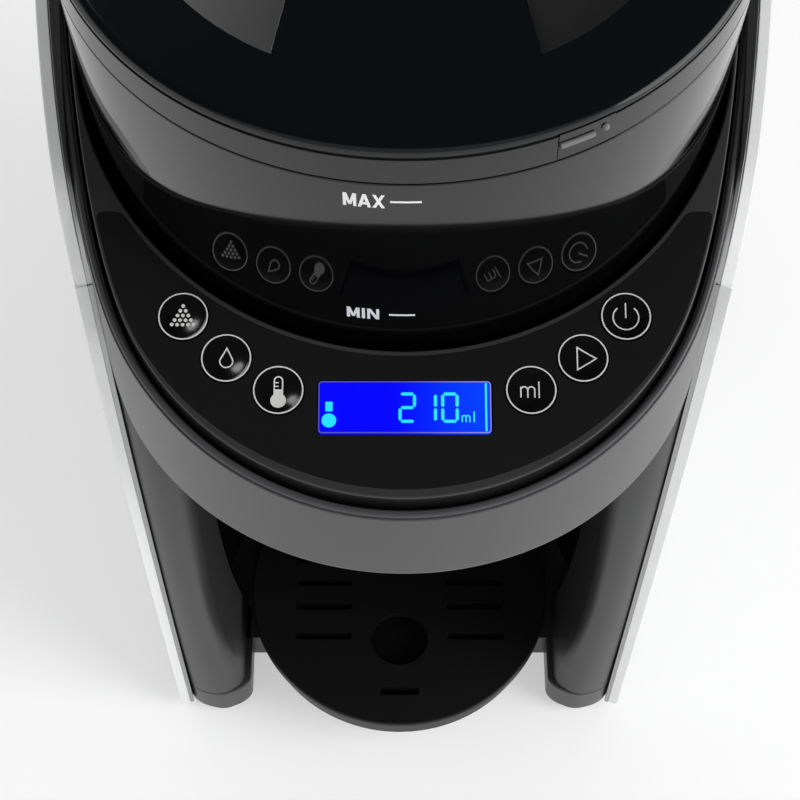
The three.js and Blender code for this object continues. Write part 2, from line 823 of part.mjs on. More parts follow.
function makeWheel() {
  const top = wheelBottom + wheelHeight;
  const body = union([
    cylinder(0, hubY, wheelRadius, wheelBottom, top, roundSides),
    cylinder(0, hubY, postRadius, top - gap, top + postHeight, smallSides),
  ]);
  const tools = [];
  for (let i = 0; i < wheelPockets; i += 1) {
    const turn = 2 * Math.PI * i / wheelPockets - Math.PI / 2;
    tools.push(cylinder(outletOffset * Math.cos(turn), hubY + outletOffset * Math.sin(turn), pocketRadius,
      0, top + overrun, smallSides));
  }
  const half = socketHalf + gap;
  tools.push(block(-half, half, hubY - half, hubY + half, 0, wheelBottom + socketDepth));
  return cutAll(body, tools);
}

// Three arms on a collar over the wheel's post, each with an upright finger near the wall
function makeStirrer() {
  const bottom = wheelBottom + wheelHeight + armLift;
  const collar = cylinder(0, hubY, wheelBoss, bottom, bottom + armHeight * 2)
    .subtract(cylinder(0, hubY, postRadius + gap, 0, height, smallSides));
  const arms = [];
  for (let i = 0; i < armCount; i += 1) {
    const half = armWidth / 2;
    const arm = block(postRadius + gap * 2, armLength, -half, half, bottom, bottom + armHeight)
      .add(block(armLength - armWidth, armLength, -half, half, bottom, bottom + fingerHeight));
    arms.push(arm.rotate([0, 0, 360 * i / armCount + armAngle]).translate([0, hubY, 0]));
  }
  return union([collar, ...arms]);
}

// Fixed wiper over the outlet, carried on the container's wall
function makeScraper() {
  const bottom = wheelBottom + wheelHeight + gap;
  const wallRadius = containerRadiusAt(deckTop) - containerWall - gap;
  const disc = cylinder(0, containerY, wallRadius, bottom, bottom + scraperHeight, roundSides);
  const half = scraperWidth / 2;
  const keep = block(-half, half, containerY - wallRadius - overrun, containerY - wallRadius + scraperReach,
    0, height);
  const footBottom = deckTop + 2 * gap + containerWall;
  const foot = cylinder(0, containerY, wallRadius, footBottom, bottom + gap, roundSides)
    .subtract(cylinder(0, containerY, wheelRadius + 2 * runningGap, 0, height, roundSides));
  return disc.intersect(keep).add(foot.intersect(keep));
}

function gripOutline(grow) {
  const radius = gripRadius + grow;
  const splay = Math.tan(gripSplayAngle * degree);
  const edge = gripHalfBar - grow;
  // The straight edge x = edge + y * splay meets the arc where x * x + y * y = radius * radius
  const a = 1 + splay * splay;
  const b = 2 * edge * splay;
  const c = edge * edge - radius * radius;
  const y = (-b + Math.sqrt(b * b - 4 * a * c)) / (2 * a);
  const turn = Math.atan2(y, edge + y * splay);
  const arc = new THREE.EllipseCurve(0, containerY, radius, radius, -turn, turn);
  return [new THREE.Vector2(edge, containerY), ...arc.getPoints(arcSteps)];
}

function makeLid() {
  const plateBottom = lidTop - lidTopThickness;
  const skirtBottom = rimTop + gap;
  const plugOuter = lidRadius - containerWall - sealThickness - gap;
  const plate = turned([
    [0, plateBottom], [lidRadius - skirtWall, plateBottom], [lidRadius - skirtWall, skirtBottom],
    [lidRadius, skirtBottom], [lidRadius, lidTop - lidLip], [lidRadius - lidLipInset, lidTop], [0, lidTop],
  ], 0, containerY, roundSides);
  const plug = cylinder(0, containerY, plugOuter, rimTop - lidPlugDepth, plateBottom + gap, roundSides)
    .subtract(cylinder(0, containerY, plugOuter - lidPlugWall, 0, height, roundSides));
  const cups = prism(gripOutline(gripWall), lidTop - gripDepth - gripWall, lidTop - gap);
  const hollows = prism(gripOutline(0), lidTop - gripDepth, lidTop + overrun);
  const lug = lidLug();
  const whole = union([plate, plug, cups, mirrored(cups), lug, turnedHalf(lug)]);
  return cutAll(whole, [hollows, mirrored(hollows)]);
}

// Half a turn about the container's axis
const turnedHalf = (solid) => solid.translate([0, -containerY, 0]).rotate([0, 0, 2 * quarterTurn])
  .translate([0, containerY, 0]);

function lidLug() {
  const inside = lidRadius - skirtWall / 2;
  const outside = lidRadius + lugThickness;
  const centre = lidTop - lugDrop;
  const bar = block(-lugWidth / 2, lugWidth / 2, -outside, -inside, centre - lugHeight, centre)
    .rotate([0, 0, lugAngle]);
  const knob = cylinder(0, -lidRadius, knobRadius, centre - lugHeight, centre + gap, smallSides)
    .rotate([0, 0, knobAngle]);
  return bar.add(knob).translate([0, containerY, 0]);
}

function makeSeal() {
  const bottom = rimTop - lidPlugDepth / 2;
  const inside = lidRadius - containerWall - sealThickness;
  const wall = containerRadiusAt(bottom) - containerWall - gap;
  return cylinder(0, containerY, wall, bottom, bottom + sealHeight, roundSides)
    .subtract(cylinder(0, containerY, inside, 0, height, roundSides));
}

// Gear in plan with straight-sided teeth
function gearOutline(teeth, phase) {
  const pitchRadius = gearModule * teeth / 2;
  const pitch = 2 * Math.PI / teeth;
  const root = pitchRadius - dedendum;
  const tip = pitchRadius + addendum;
  const corners = [];
  for (let i = 0; i < teeth; i += 1) {
    const middle = phase + i * pitch;
    const steps = [
      [root, -rootToothShare], [tip, -tipToothShare], [tip, tipToothShare], [root, rootToothShare],
    ];
    for (const [radius, share] of steps) {
      const turn = middle + share * pitch;
      corners.push(new THREE.Vector2(radius * Math.cos(turn), radius * Math.sin(turn)));
    }
  }
  return corners;
}

const gearBottom = undersideTop + gearLift;

function makeGear(teeth, phase, y, bore) {
  const wheel = prism(gearOutline(teeth, phase), gearBottom, gearBottom + gearHeight).translate([0, y, 0]);
  return wheel.subtract(cylinder(0, y, bore, 0, height, smallSides));
}

// Square-ended hub that drives the wheel, on a round shaft through the gear down to a foot bearing
function makeHub() {
  const dogTop = wheelBottom + socketDepth - gap;
  const collarTop = deckTop + gap;
  return union([
    cylinder(0, hubY, pinRadius, undersideTop + gap, gearBottom + gearHeight + gap, smallSides),
    cylinder(0, hubY, hubRadius, gearBottom + gearHeight + gap, collarTop),
    block(-socketHalf, socketHalf, hubY - socketHalf, hubY + socketHalf, collarTop - gap, dogTop),
  ]);
}

function makeIdlerPin() {
  return cylinder(0, idlerY, pinRadius, undersideTop + gap, deckTop - deckThickness - gap, smallSides);
}

function makeMotor() {
  return cylinder(0, motorY, motorRadius, headBottom - gap - motorHeight, headBottom - gap);
}

function makePinion() {
  const bottom = headBottom + gap;
  const gear = prism(gearOutline(pinionTeeth, Math.PI / pinionTeeth), gearBottom, gearBottom + gearHeight)
    .translate([0, motorY, 0]);
  return gear.add(cylinder(0, motorY, motorShaftRadius, bottom, gearBottom + gap, smallSides));
}

// Drawer that carries the mixing funnel under the head
function roundedPlan(halfWidth, y0, y1, corner) {
  const shape = new THREE.Path();
  shape.moveTo(-halfWidth + corner, y0);
  shape.lineTo(halfWidth - corner, y0);
  shape.absarc(halfWidth - corner, y0 + corner, corner, -Math.PI / 2, 0);
  shape.lineTo(halfWidth, y1 - corner);
  shape.absarc(halfWidth - corner, y1 - corner, corner, 0, Math.PI / 2);
  shape.lineTo(-halfWidth + corner, y1);
  shape.absarc(-halfWidth + corner, y1 - corner, corner, Math.PI / 2, Math.PI);
  shape.lineTo(-halfWidth, y0 + corner);
  shape.absarc(-halfWidth + corner, y0 + corner, corner, Math.PI, 1.5 * Math.PI);
  const points = shape.getPoints(cornerSteps);
  return points.filter((point, i) => i === 0 || point.distanceTo(points[i - 1]) > gap / 10)
    .filter((point, i) => i === 0 || point.distanceTo(points[0]) > gap / 10);
}

const drawerTop = flangeTop + gap;
const drawerBottom = drawerTop - drawerHeight;
const funnelSeat = drawerTop - funnelRimThickness - 2 * gap;

function makeDrawer() {
  const outline = roundedPlan(drawerHalfWidth, drawerFront, drawerBack, drawerCorner);
  const outer = prism(outline, drawerBottom, drawerTop);
  const innerHalf = drawerHalfWidth - drawerWall;
  const inner = prism(roundedPlan(innerHalf, drawerFront + drawerWall, drawerBack - drawerWall,
    drawerCorner - drawerWall), drawerBottom + drawerWall, drawerTop + overrun);
  const ledge = prism(roundedPlan(drawerHalfWidth - drawerWall / 2, drawerFront + drawerWall / 2,
    drawerBack - drawerWall / 2, drawerCorner), funnelSeat - gap - drawerWall, funnelSeat - gap);
  const reach = drawerHalfWidth + flangeReach;
  const flange = block(-reach, reach, drawerFront + drawerCorner, drawerBack - drawerCorner,
    flangeTop - flangeThickness, flangeTop);
  const middle = prism(roundedPlan(innerHalf, drawerFront + drawerWall, drawerBack - drawerWall,
    drawerCorner - drawerWall), flangeTop - flangeThickness - overrun, flangeTop + overrun);
  const shell = outer.subtract(inner).add(ledge).add(flange.subtract(middle));
  return cutAll(shell, [
    cylinder(0, outletY, funnelTopRadius + gap, drawerBottom + drawerWall, height),
    cylinder(0, outletY, spoutRadius + funnelWall + runningGap, 0, height),
  ]);
}

function makeFunnel() {
  const rimBottom = funnelSeat;
  const rimTopZ = rimBottom + funnelRimThickness;
  const coneBottom = rimBottom - funnelConeHeight;
  const spoutEnd = coneBottom - spoutLength;
  const inner = funnelTopRadius - funnelWall;
  const profile = [
    [spoutRadius - funnelWall, spoutEnd], [spoutRadius, spoutEnd], [spoutRadius, coneBottom],
    [funnelTopRadius, rimBottom], [funnelTopRadius + funnelRimWidth, rimBottom],
    [funnelTopRadius + funnelRimWidth, rimTopZ], [inner, rimTopZ], [spoutRadius - funnelWall, coneBottom],
    [spoutRadius - funnelWall, spoutEnd],
  ];
  return turned(profile, 0, outletY, mediumSides);
}

// Bottle stand: a round cup under a slotted plate, with a bracket whose headed hooks ride in the liner
const standBottom = baseTop + 2 * gap;
const grateBottom = standTop - grateThickness;

function makeStand() {
  const cupRadius = standRadius - cupInset;
  const cupTop = grateBottom - gap;
  const cup = cylinder(0, bayCentreY, cupRadius, standBottom, cupTop, roundSides)
    .subtract(cylinder(0, bayCentreY, cupRadius - standWall, standBottom + standWall, height, roundSides));
  const bracketTop = standTop + bracketHeight;
  const backZone = cylinder(0, bayCentreY, bayRadius - 2 * gap, standBottom, bracketTop, roundSides);
  const bracket = backZone.intersect(block(-bracketHalfWidth, bracketHalfWidth,
    bayCentreY + standRadius + gap, rear, 0, height));
  const bridge = backZone.intersect(block(-bracketHalfWidth, bracketHalfWidth,
    bayCentreY + cupRadius - standWall, bayCentreY + standRadius + bracketReach, standBottom, cupTop));
  const headInside = bayCentreY + bayRadius + linerWall + guideClearance;
  const hooks = [-1, 1].flatMap((side) => [
    block(side * hookX - hookHalfWidth, side * hookX + hookHalfWidth,
      bayCentreY + standRadius + bracketReach, headInside + hookHead, hookBottom, hookBottom + hookHeight),
    block(side * hookX - hookHeadHalfWidth, side * hookX + hookHeadHalfWidth, headInside,
      headInside + hookHead, hookBottom, hookBottom + hookHeight),
  ]);
  return union([cup, bracket, bridge, ...hooks]);
}

function makeGrate() {
  const plate = cylinder(0, bayCentreY, standRadius, grateBottom, standTop, roundSides);
  const lip = standWall + cupInset + runningGap;
  const rimRadius = standRadius - lip;
  const rim = cylinder(0, bayCentreY, rimRadius, grateBottom - grateInset, grateBottom + gap, roundSides)
    .subtract(cylinder(0, bayCentreY, rimRadius - standWall, 0, grateBottom, roundSides));
  const slot = (x, row, length) => block(x - length / 2, x + length / 2,
    bayCentreY + row - slotWidth / 2, bayCentreY + row + slotWidth / 2, 0, height);
  const rows = slotRowShares.map((share) => share * standRadius);
  const tools = rows.flatMap((row) => [slot(slotSide, row, slotLength), slot(-slotSide, row, slotLength)]);
  tools.push(slot(0, frontSlotShare * standRadius, frontSlotLength));
  tools.push(cylinder(0, outletY, grateHoleRadius, 0, height));
  return cutAll(plate.add(rim), tools);
}

// Plan of the tank: the body's plan behind the head, set in a little from the rear cover
const flush = bandProud + sideWall;
const tankFront = headRear + bandProud + gap + cradleWall + gap;
const behind = (y) => block(-depth, depth, y, rear + overrun, 0, height);
const hingeY = rear - tankInset - knuckleRadius;
const hingeZ = tankTop + gap + knuckleRadius;
const valveBottom = tankBottom - valveBodyDrop;

function knuckle(x0, x1) {
  const geometry = new THREE.CylinderGeometry(knuckleRadius, knuckleRadius, x1 - x0, smallSides);
  return toSolid(geometry.rotateZ(Math.PI / 2).translate((x0 + x1) / 2, hingeY, hingeZ));
}

function hingePin(radius, half) {
  const geometry = new THREE.CylinderGeometry(radius, radius, 2 * half, smallSides);
  return toSolid(geometry.rotateZ(Math.PI / 2).translate(0, hingeY, hingeZ));
}

function makeTank() {
  const outer = prism(offset(bodyPlan, flush - tankInset), tankBottom, tankTop)
    .intersect(behind(tankFront));
  const inner = prism(offset(bodyPlan, flush - tankInset - tankWall), tankBottom + tankWall, height)
    .intersect(behind(tankFront + tankWall));
  const tube = cylinder(0, valveY, valveBodyRadius, valveBottom, tankBottom + gap);
  const inside = knuckleHalf + gap;
  const bosses = [[-pinHalf, -inside], [inside, pinHalf]].flatMap(([x0, x1]) => [
    knuckle(x0, x1),
    block(x0, x1, hingeY - knuckleRadius / 2, rear - tankInset - tankWall / 2, tankTop - gap, hingeZ),
  ]);
  const tools = [
    inner,
    cylinder(0, valveY, valveBodyRadius - valveBodyWall, valveBottom + valveLip,
      tankBottom + tankWall + overrun),
    cylinder(0, valveY, valveLipRadius, 0, tankBottom, smallSides),
  ];
  return cutAll(union([outer, tube]), tools).add(union(bosses))
    .subtract(hingePin(hingePinRadius + gap, pinHalf + overrun));
}

function makeTankLid() {
  const bottom = tankTop + gap;
  const top = bottom + tankLidThickness;
  const lipFront = tankFront + tankWall + lipClearance;
  const notch = hingeY - knuckleRadius - 2 * gap;
  const upTo = (y) => block(-depth, depth, 0, y, 0, height);
  const slab = prism(offset(bodyPlan, flush - tankInset), bottom, top)
    .intersect(behind(tankFront)).intersect(upTo(hingeY + lidTail))
    .subtract(block(-pinHalf - gap, pinHalf + gap, notch, rear, 0, height));
  const lipOffset = flush - tankInset - tankWall - lipClearance;
  const lipOuter = prism(offset(bodyPlan, lipOffset), tankTop - tankLidLip, bottom + gap)
    .intersect(behind(lipFront));
  const lipInner = prism(offset(bodyPlan, lipOffset - tankWall), 0, bottom)
    .intersect(behind(lipFront + tankWall)).intersect(upTo(notch - 2 * tankWall));
  const lip = lipOuter.subtract(lipInner).intersect(upTo(notch - tankWall));
  const web = block(-knuckleHalf, knuckleHalf, notch - overrun, hingeY, bottom, top);
  return union([slab, lip, web, knuckle(-knuckleHalf, knuckleHalf)])
    .subtract(hingePin(hingePinRadius + gap, pinHalf));
}

const plungerBottom = valveBottom + valveLip + gap;

function makePlunger() {
  return cylinder(0, valveY, valveHeadRadius, plungerBottom, plungerBottom + valveHead)
    .add(cylinder(0, valveY, valveStem, plungerBottom - valveLip - valveStemDrop,
      plungerBottom + valveHead + valveStemRise, smallSides));
}

const capBottom = tankBottom + tankWall + gap;

function makeValveCap() {
  const disc = cylinder(0, valveY, valveBodyRadius, capBottom, capBottom + valveCapThickness);
  const tools = [cylinder(0, valveY, valveStem + gap, 0, height, smallSides)];
  for (let i = 0; i < 4; i += 1) {
    const turn = Math.PI * i / 2;
    tools.push(cylinder(flowHoleOffset * Math.cos(turn), valveY + flowHoleOffset * Math.sin(turn),
      flowHoleRadius, 0, height, smallSides));
  }
  return cutAll(disc, tools);
}

// Coil spring between the plunger's head and the cap, wound as one unbroken tube
class Coil extends THREE.Curve {
  constructor(bottom, top) {
    super();
    this.bottom = bottom;
    this.top = top;
  }

  getPoint(t, target = new THREE.Vector3()) {
    const turn = 2 * Math.PI * springTurns * t;
    return target.set(springRadius * Math.cos(turn), valveY + springRadius * Math.sin(turn),
      this.bottom + (this.top - this.bottom) * t);
  }
}

function sweep(curve, radius, sides, steps) {
  const section = new THREE.Shape();
  section.absarc(0, 0, radius, 0, 2 * Math.PI);
  const ring = section.getPoints(sides / 2).slice(0, -1);
  const options = { steps, extrudePath: curve, bevelEnabled: false };
  const geometry = new THREE.ExtrudeGeometry(new THREE.Shape(ring), options);
  return toSolid(geometry);
}

function makeSpring() {
  const bottom = plungerBottom + valveHead + gap + springWire;
  const top = capBottom - gap - springWire;
  const curve = new Coil(bottom, top);
  const leastGap = (top - bottom) / springTurns - 2 * springWire;
  console.log(`valve spring: least gap between turns ${leastGap.toFixed(2)} mm`);
  return sweep(curve, springWire, springSides, springTurns * springSteps);
}

// Shelf and back wall that the tank stands against, with a cup for its valve
function makeCradle() {
  const top = tankBottom - gap;
  const bottom = top - cradleThickness;
  const plan = offset(bodyPlan, flush);
  const shelf = prism(plan, bottom, top).intersect(behind(headRear + gap));
  const upright = prism(plan, bottom, height)
    .intersect(block(-depth, depth, headRear + gap, tankFront - gap, 0, height))
    .intersect(under(sideDrop));
  const cupRadius = valveBodyRadius + runningGap + cradleCupWall;
  const cup = cylinder(0, valveY, cupRadius, bottom - cradleCupDepth, top);
  const tools = [
    prism(offset(headPlan, bandProud + gap), top + overrun, height + overrun),
    cylinder(0, valveY, valveBodyRadius + runningGap, bottom - cradleCupDepth + cradleCupFloor,
      top + overrun),
    cylinder(0, valveY, hosePort, 0, top, smallSides),
  ];
  return cutAll(union([shelf, upright, cup]), tools);
}

const coverBack = rear - rearWall;

function makeRearCover() {
  const bottom = footHeight + gap;
  const top = tankBottom - 2 * gap - cradleThickness;
  const shell = prism(offset(bodyPlan, flush), bottom, top)
    .subtract(prism(offset(bodyPlan, flush - rearWall), 0, height))
    .intersect(behind(headRear + gap));
  const bosses = [-1, 1].flatMap((side) => [powerBoardBottom, powerBoardTop].map((z) => {
    const x = powerBoardX + side * (powerBoardHalfWidth - standoffInset);
    const middle = z + (z === powerBoardBottom ? standoffInset : -standoffInset);
    return block(x - standoffHalf, x + standoffHalf, coverBack - standoff, coverBack + gap,
      middle - standoffHalf, middle + standoffHalf);
  }));
  const hole = block(inletX - inletHalfWidth - gap, inletX + inletHalfWidth + gap, coverBack - overrun,
    rear + overrun, inletZ - inletHalfHeight - gap, inletZ + inletHalfHeight + gap);
  return union([shell, ...bosses]).subtract(hole);
}

function makePowerBoard() {
  const back = coverBack - standoff - gap;
  const plate = block(powerBoardX - powerBoardHalfWidth, powerBoardX + powerBoardHalfWidth,
    back - boardThickness, back, powerBoardBottom, powerBoardTop);
  const foot = powerBoardBottom + transformerRise;
  const transformer = block(powerBoardX - transformerHalf, powerBoardX + transformerHalf,
    back - boardThickness - transformerDepth, back - boardThickness / 2, foot, foot + transformerHeight);
  return plate.add(transformer);
}

function makeInlet() {
  const back = rear - gap;
  const body = block(inletX - inletHalfWidth, inletX + inletHalfWidth, back - inletDepth, back,
    inletZ - inletHalfHeight, inletZ + inletHalfHeight);
  const pocket = block(inletX - inletHalfWidth + inletWall, inletX + inletHalfWidth - inletWall,
    back - inletPocket, rear + overrun,
    inletZ - inletHalfHeight + inletWall, inletZ + inletHalfHeight - inletWall);
  return body.subtract(pocket);
}

function makePump() {
  const geometry = new THREE.CylinderGeometry(pumpRadius, pumpRadius, pumpBack - pumpFront, mediumSides);
  const body = toSolid(geometry.translate(pumpX, (pumpFront + pumpBack) / 2, pumpZ));
  const foot = block(pumpX - pumpFootHalf, pumpX + pumpFootHalf,
    pumpFront + pumpFootHalf, pumpBack - pumpFootHalf,
    baseTop + gap, pumpZ);
  return body.add(foot);
}

function makeHeater() {
  return cylinder(heaterX, heaterY, heaterRadius, heaterBottom, heaterTop)
    .add(cylinder(heaterX, heaterY, heaterPostRadius, baseTop + gap, heaterBottom + gap, smallSides));
}

const nozzleTop = headBottom + nozzleRise;

function makeNozzle() {
  const capTop = nozzleTop + nozzleRadius;
  const upright = cylinder(nozzleX, nozzleY, nozzleRadius, headBottom, capTop, smallSides);
  const arm = new THREE.CylinderGeometry(nozzleRadius, nozzleRadius, nozzleArm, smallSides)
    .rotateZ(Math.PI / 2);
  return upright.add(toSolid(arm.translate(nozzleX + nozzleArm / 2, nozzleY, nozzleTop)))
    .subtract(cylinder(nozzleX, nozzleY, nozzleBore, 0, nozzleTop, smallSides));
}

function hose(points) {
  const curve = new THREE.CatmullRomCurve3(points.map(([x, y, z]) => new THREE.Vector3(x, y, z)));
  return sweep(curve, hoseRadius, hoseSides, hoseSteps);
}

const bend = 4 * hoseRadius;

function makeNozzleHose() {
  const x = heaterX - hoseRadius;
  const start = nozzleX + nozzleArm + gap;
  return hose([
    [start, nozzleY, nozzleTop], [start + bend / 4, nozzleY, nozzleTop],
    [x, nozzleY + bend, nozzleTop], [x, (nozzleY + heaterY) / 2, nozzleTop],
    [heaterX, heaterY - bend, nozzleTop], [heaterX, heaterY - bend / 8, nozzleTop - bend / 2],
    [heaterX, heaterY, headBottom], [heaterX, heaterY, heaterTop + bend],
    [heaterX, heaterY, heaterTop + gap],
  ]);
}

function makePumpHose() {
  const y = heaterY + heaterRadius + gap;
  const inletTop = heaterBottom + heaterInletRise;
  return hose([
    [heaterX, y, inletTop], [heaterX, y + bend / 2, inletTop], [heaterX, y + 1.5 * bend, inletTop - bend],
    [heaterX, y + 1.5 * bend, pumpZ + 2.5 * bend], [heaterX, pumpFront - bend, pumpZ + bend / 4],
    [heaterX, pumpFront - bend / 4, pumpZ], [heaterX, pumpFront - gap, pumpZ],
  ]);
}

function makeTankHose() {
  const top = tankBottom - gap - cradleThickness - cradleCupDepth - gap;
  return hose([
    [0, valveY, top], [0, valveY, top - bend], [bend / 2, valveY + bend / 2, top - 5 * bend],
    [pumpX / 2, pumpBack + bend, pumpZ + 1.5 * bend], [pumpX - bend / 4, pumpBack + bend, pumpZ + bend / 4],
    [pumpX, pumpBack + bend / 4, pumpZ], [pumpX, pumpBack + gap, pumpZ],
  ]);
}

for (const spot of footPlaces) place(spot.name, makeFoot(spot), 'rubber');
place('base_plate', makeBase(), 'satinGrey');
const leg = makeLeg();
place('right_leg', leg, 'satinGrey');
place('left_leg', mirrored(leg), 'satinGrey');
const sidePanel = makeSidePanel();
place('right_side_panel', sidePanel, 'silver');
place('left_side_panel', mirrored(sidePanel), 'silver');
place('bay_liner', makeLiner(), 'glossBlack');
place('head_band', makeBand(), 'satinGrey');
place('trim_ring', makeTrim(), 'satinGrey');
place('panel_bezel', makeBezel().add(makePegs()), 'satinGrey');
place('button_film', makeFilm(), 'mattBlack');
place('display_window', makeWindow(), 'display');
place('display_module', makeDisplayModule(), 'white');
place('control_board', makeControlBoard(), 'board');
for (const { name, x, y } of buttonSpots()) place(name, makeButton(x, y), 'glossBlack');
place('head_floor', makeUnderside(), 'innerGrey');
place('container_well', makeWell(), 'glossBlack');
place('powder_container', makeContainer(), 'smoke');
place('container_lid', makeLid(), 'glossBlack');
place('lid_seal', makeSeal(), 'rubber');
place('dosing_wheel', makeWheel(), 'white');
place('stirrer', makeStirrer(), 'white');
place('powder_scraper', makeScraper(), 'white');
place('drive_hub', makeHub(), 'white');
place('hub_gear', makeGear(hubTeeth, 0, hubY, pinRadius + gap), 'white');
place('idler_gear', makeGear(idlerTeeth, Math.PI / idlerTeeth, idlerY, pinRadius + gap), 'white');
place('idler_pin', makeIdlerPin(), 'steel');
place('motor_pinion', makePinion(), 'white');
place('gear_motor', makeMotor(), 'steel');
place('funnel_drawer', makeDrawer(), 'satinGrey');
place('mixing_funnel', makeFunnel(), 'smoke');
place('bottle_stand', makeStand(), 'mattBlack');
place('stand_grate', makeGrate(), 'mattBlack');
place('water_tank', makeTank(), 'smoke');
place('tank_lid', makeTankLid(), 'glossBlack');
place('tank_hinge_pin', hingePin(hingePinRadius, pinHalf), 'steel');
place('valve_plunger', makePlunger(), 'white');
place('valve_spring', makeSpring(), 'steel');
place('valve_cap', makeValveCap(), 'white');
place('tank_cradle', makeCradle(), 'satinGrey');
place('rear_cover', makeRearCover(), 'satinGrey');
place('power_board', makePowerBoard(), 'board');
place('power_inlet', makeInlet(), 'glossBlack');
place('water_pump', makePump(), 'white');
place('water_heater', makeHeater(), 'steel');
place('water_nozzle', makeNozzle(), 'white');
place('nozzle_hose', makeNozzleHose(), 'clearHose');
place('pump_hose', makePumpHose(), 'clearHose');
place('tank_hose', makeTankHose(), 'clearHose');

export default machine;
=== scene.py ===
# %% [markdown]
# # A baby formula maker
#
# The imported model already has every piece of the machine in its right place, but with flat
# facets. This script gives each piece that shows a fine surface and a finish, sets up a small
# white studio and stands the camera high in front, where it looks down on the control panel.

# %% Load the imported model
import math

import bmesh
import bpy
import numpy as np
from mathutils import Matrix, Vector


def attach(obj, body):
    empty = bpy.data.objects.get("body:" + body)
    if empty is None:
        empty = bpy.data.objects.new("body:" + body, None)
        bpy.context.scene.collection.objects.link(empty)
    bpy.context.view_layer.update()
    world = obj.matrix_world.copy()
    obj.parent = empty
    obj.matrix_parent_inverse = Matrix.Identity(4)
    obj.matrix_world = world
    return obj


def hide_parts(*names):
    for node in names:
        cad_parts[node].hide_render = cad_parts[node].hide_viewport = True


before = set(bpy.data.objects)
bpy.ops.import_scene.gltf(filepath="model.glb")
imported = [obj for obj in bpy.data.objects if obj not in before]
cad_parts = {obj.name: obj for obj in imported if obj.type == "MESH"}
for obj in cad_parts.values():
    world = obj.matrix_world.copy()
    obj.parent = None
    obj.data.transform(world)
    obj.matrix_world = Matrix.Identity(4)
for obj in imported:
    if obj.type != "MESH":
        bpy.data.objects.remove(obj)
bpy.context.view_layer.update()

# %% [markdown]
# All shapes are worked out in millimetres, like the real drawings, and turned to metres once,
# where a mesh is made. The helpers below make closed surfaces from numpy arrays: a grid of
# points whose two directions are the two parameters of the surface.

# %% From arrays to meshes
MM = 0.001


def patch(grid, wrap_rows=True, wrap_columns=True):
    """Faces of a grid of points (rows, columns, 3). A direction that wraps joins its last line to its
    first. One that doesn't wrap is closed by a flat face at each end."""
    rows, columns = grid.shape[:2]
    index = np.arange(rows * columns).reshape(rows, columns)
    full = np.vstack([index, index[:1]]) if wrap_rows else index
    full = np.hstack([full, full[:, :1]]) if wrap_columns else full
    quads = np.stack([full[:-1, :-1], full[:-1, 1:], full[1:, 1:], full[1:, :-1]], -1).reshape(-1, 4)
    faces = quads.tolist()
    if not wrap_rows:
        faces += [index[0, ::-1].tolist(), index[-1].tolist()]
    if not wrap_columns:
        faces += [index[:, 0].tolist(), index[::-1, -1].tolist()]
    return grid.reshape(-1, 3), faces


def placed(name, data):
    """A new object in the scene."""
    made = bpy.data.objects.new(name, data)
    bpy.context.scene.collection.objects.link(made)
    return made


def form(name, *patches):
    """One object from patches in millimetres, with doubled points merged and faces turned outwards."""
    points, faces, count = [], [], 0
    for some_points, some_faces in patches:
        points.append(some_points)
        faces += [[i + count for i in face] for face in some_faces]
        count += len(some_points)
    mesh = bpy.data.meshes.new(name)
    mesh.from_pydata((np.vstack(points) * MM).tolist(), [], faces)
    cleaned(mesh)
    return placed(name, mesh)


def cleaned(mesh):
    """Merges doubled points, drops faces without area and turns every face outwards."""
    work = bmesh.new()
    work.from_mesh(mesh)
    bmesh.ops.remove_doubles(work, verts=work.verts, dist=2e-6)
    bmesh.ops.dissolve_degenerate(work, edges=work.edges, dist=1e-6)
    bmesh.ops.recalc_face_normals(work, faces=work.faces)
    work.to_mesh(mesh)
    work.free()


def settled(piece):
    """Replaces a piece's mesh by the mesh that its modifiers make, and drops the modifiers."""
    graph = bpy.context.evaluated_depsgraph_get()
    mesh = bpy.data.meshes.new_from_object(piece.evaluated_get(graph))
    piece.modifiers.clear()
    old, piece.data = piece.data, mesh
    bpy.data.meshes.remove(old)
    return piece


def carved(piece, *tools, how="DIFFERENCE"):
    """Cuts tools out of a piece, or joins them to it, and removes the tools."""
    for tool in tools:
        cut = piece.modifiers.new("cut", "BOOLEAN")
        cut.operation, cut.object, cut.solver = how, tool, "EXACT"
    settled(piece)
    for tool in tools:
        bpy.data.objects.remove(tool)
    return piece


def softened(piece, width, segments=2, angle=30):
    """Rounds every edge sharper than an angle in degrees, by a width in millimetres."""
    bevel = piece.modifiers.new("soft edges", "BEVEL")
    bevel.width, bevel.segments = width * MM, segments
    bevel.limit_method, bevel.angle_limit = "ANGLE", math.radians(angle)
    bevel.miter_outer = "MITER_ARC"
    return settled(piece)


# %% [markdown]
# Moulded plastic never has a truly sharp edge, and the thin highlight along a rounded edge is
# what makes a piece look real. So each profile gets its corners rounded before it is turned
# about an axis or carried along a path.

# %% Profiles and outlines


def rounded(corners, radii, steps=5):
    """A closed outline with its corners rounded. Each corner becomes the curve
    (1 - t)^2 a + 2 t (1 - t) corner + t^2 b, between points a and b a radius before and after it."""
    corners = np.asarray(corners, float)
    t = np.linspace(0, 1, steps + 1)[:, None]
    pieces = []
    for before, corner, after, radius in zip(np.roll(corners, 1, 0), corners, np.roll(corners, -1, 0),
                                             np.broadcast_to(radii, len(corners))):
        a, b = before - corner, after - corner
        reach = min(radius, np.linalg.norm(a) * 0.48, np.linalg.norm(b) * 0.48)
        if reach <= 0:
            pieces.append(corner[None])
            continue
        a, b = corner + a / np.linalg.norm(a) * reach, corner + b / np.linalg.norm(b) * reach
        pieces.append((1 - t) ** 2 * a + 2 * t * (1 - t) * corner + t ** 2 * b)
    return np.vstack(pieces)


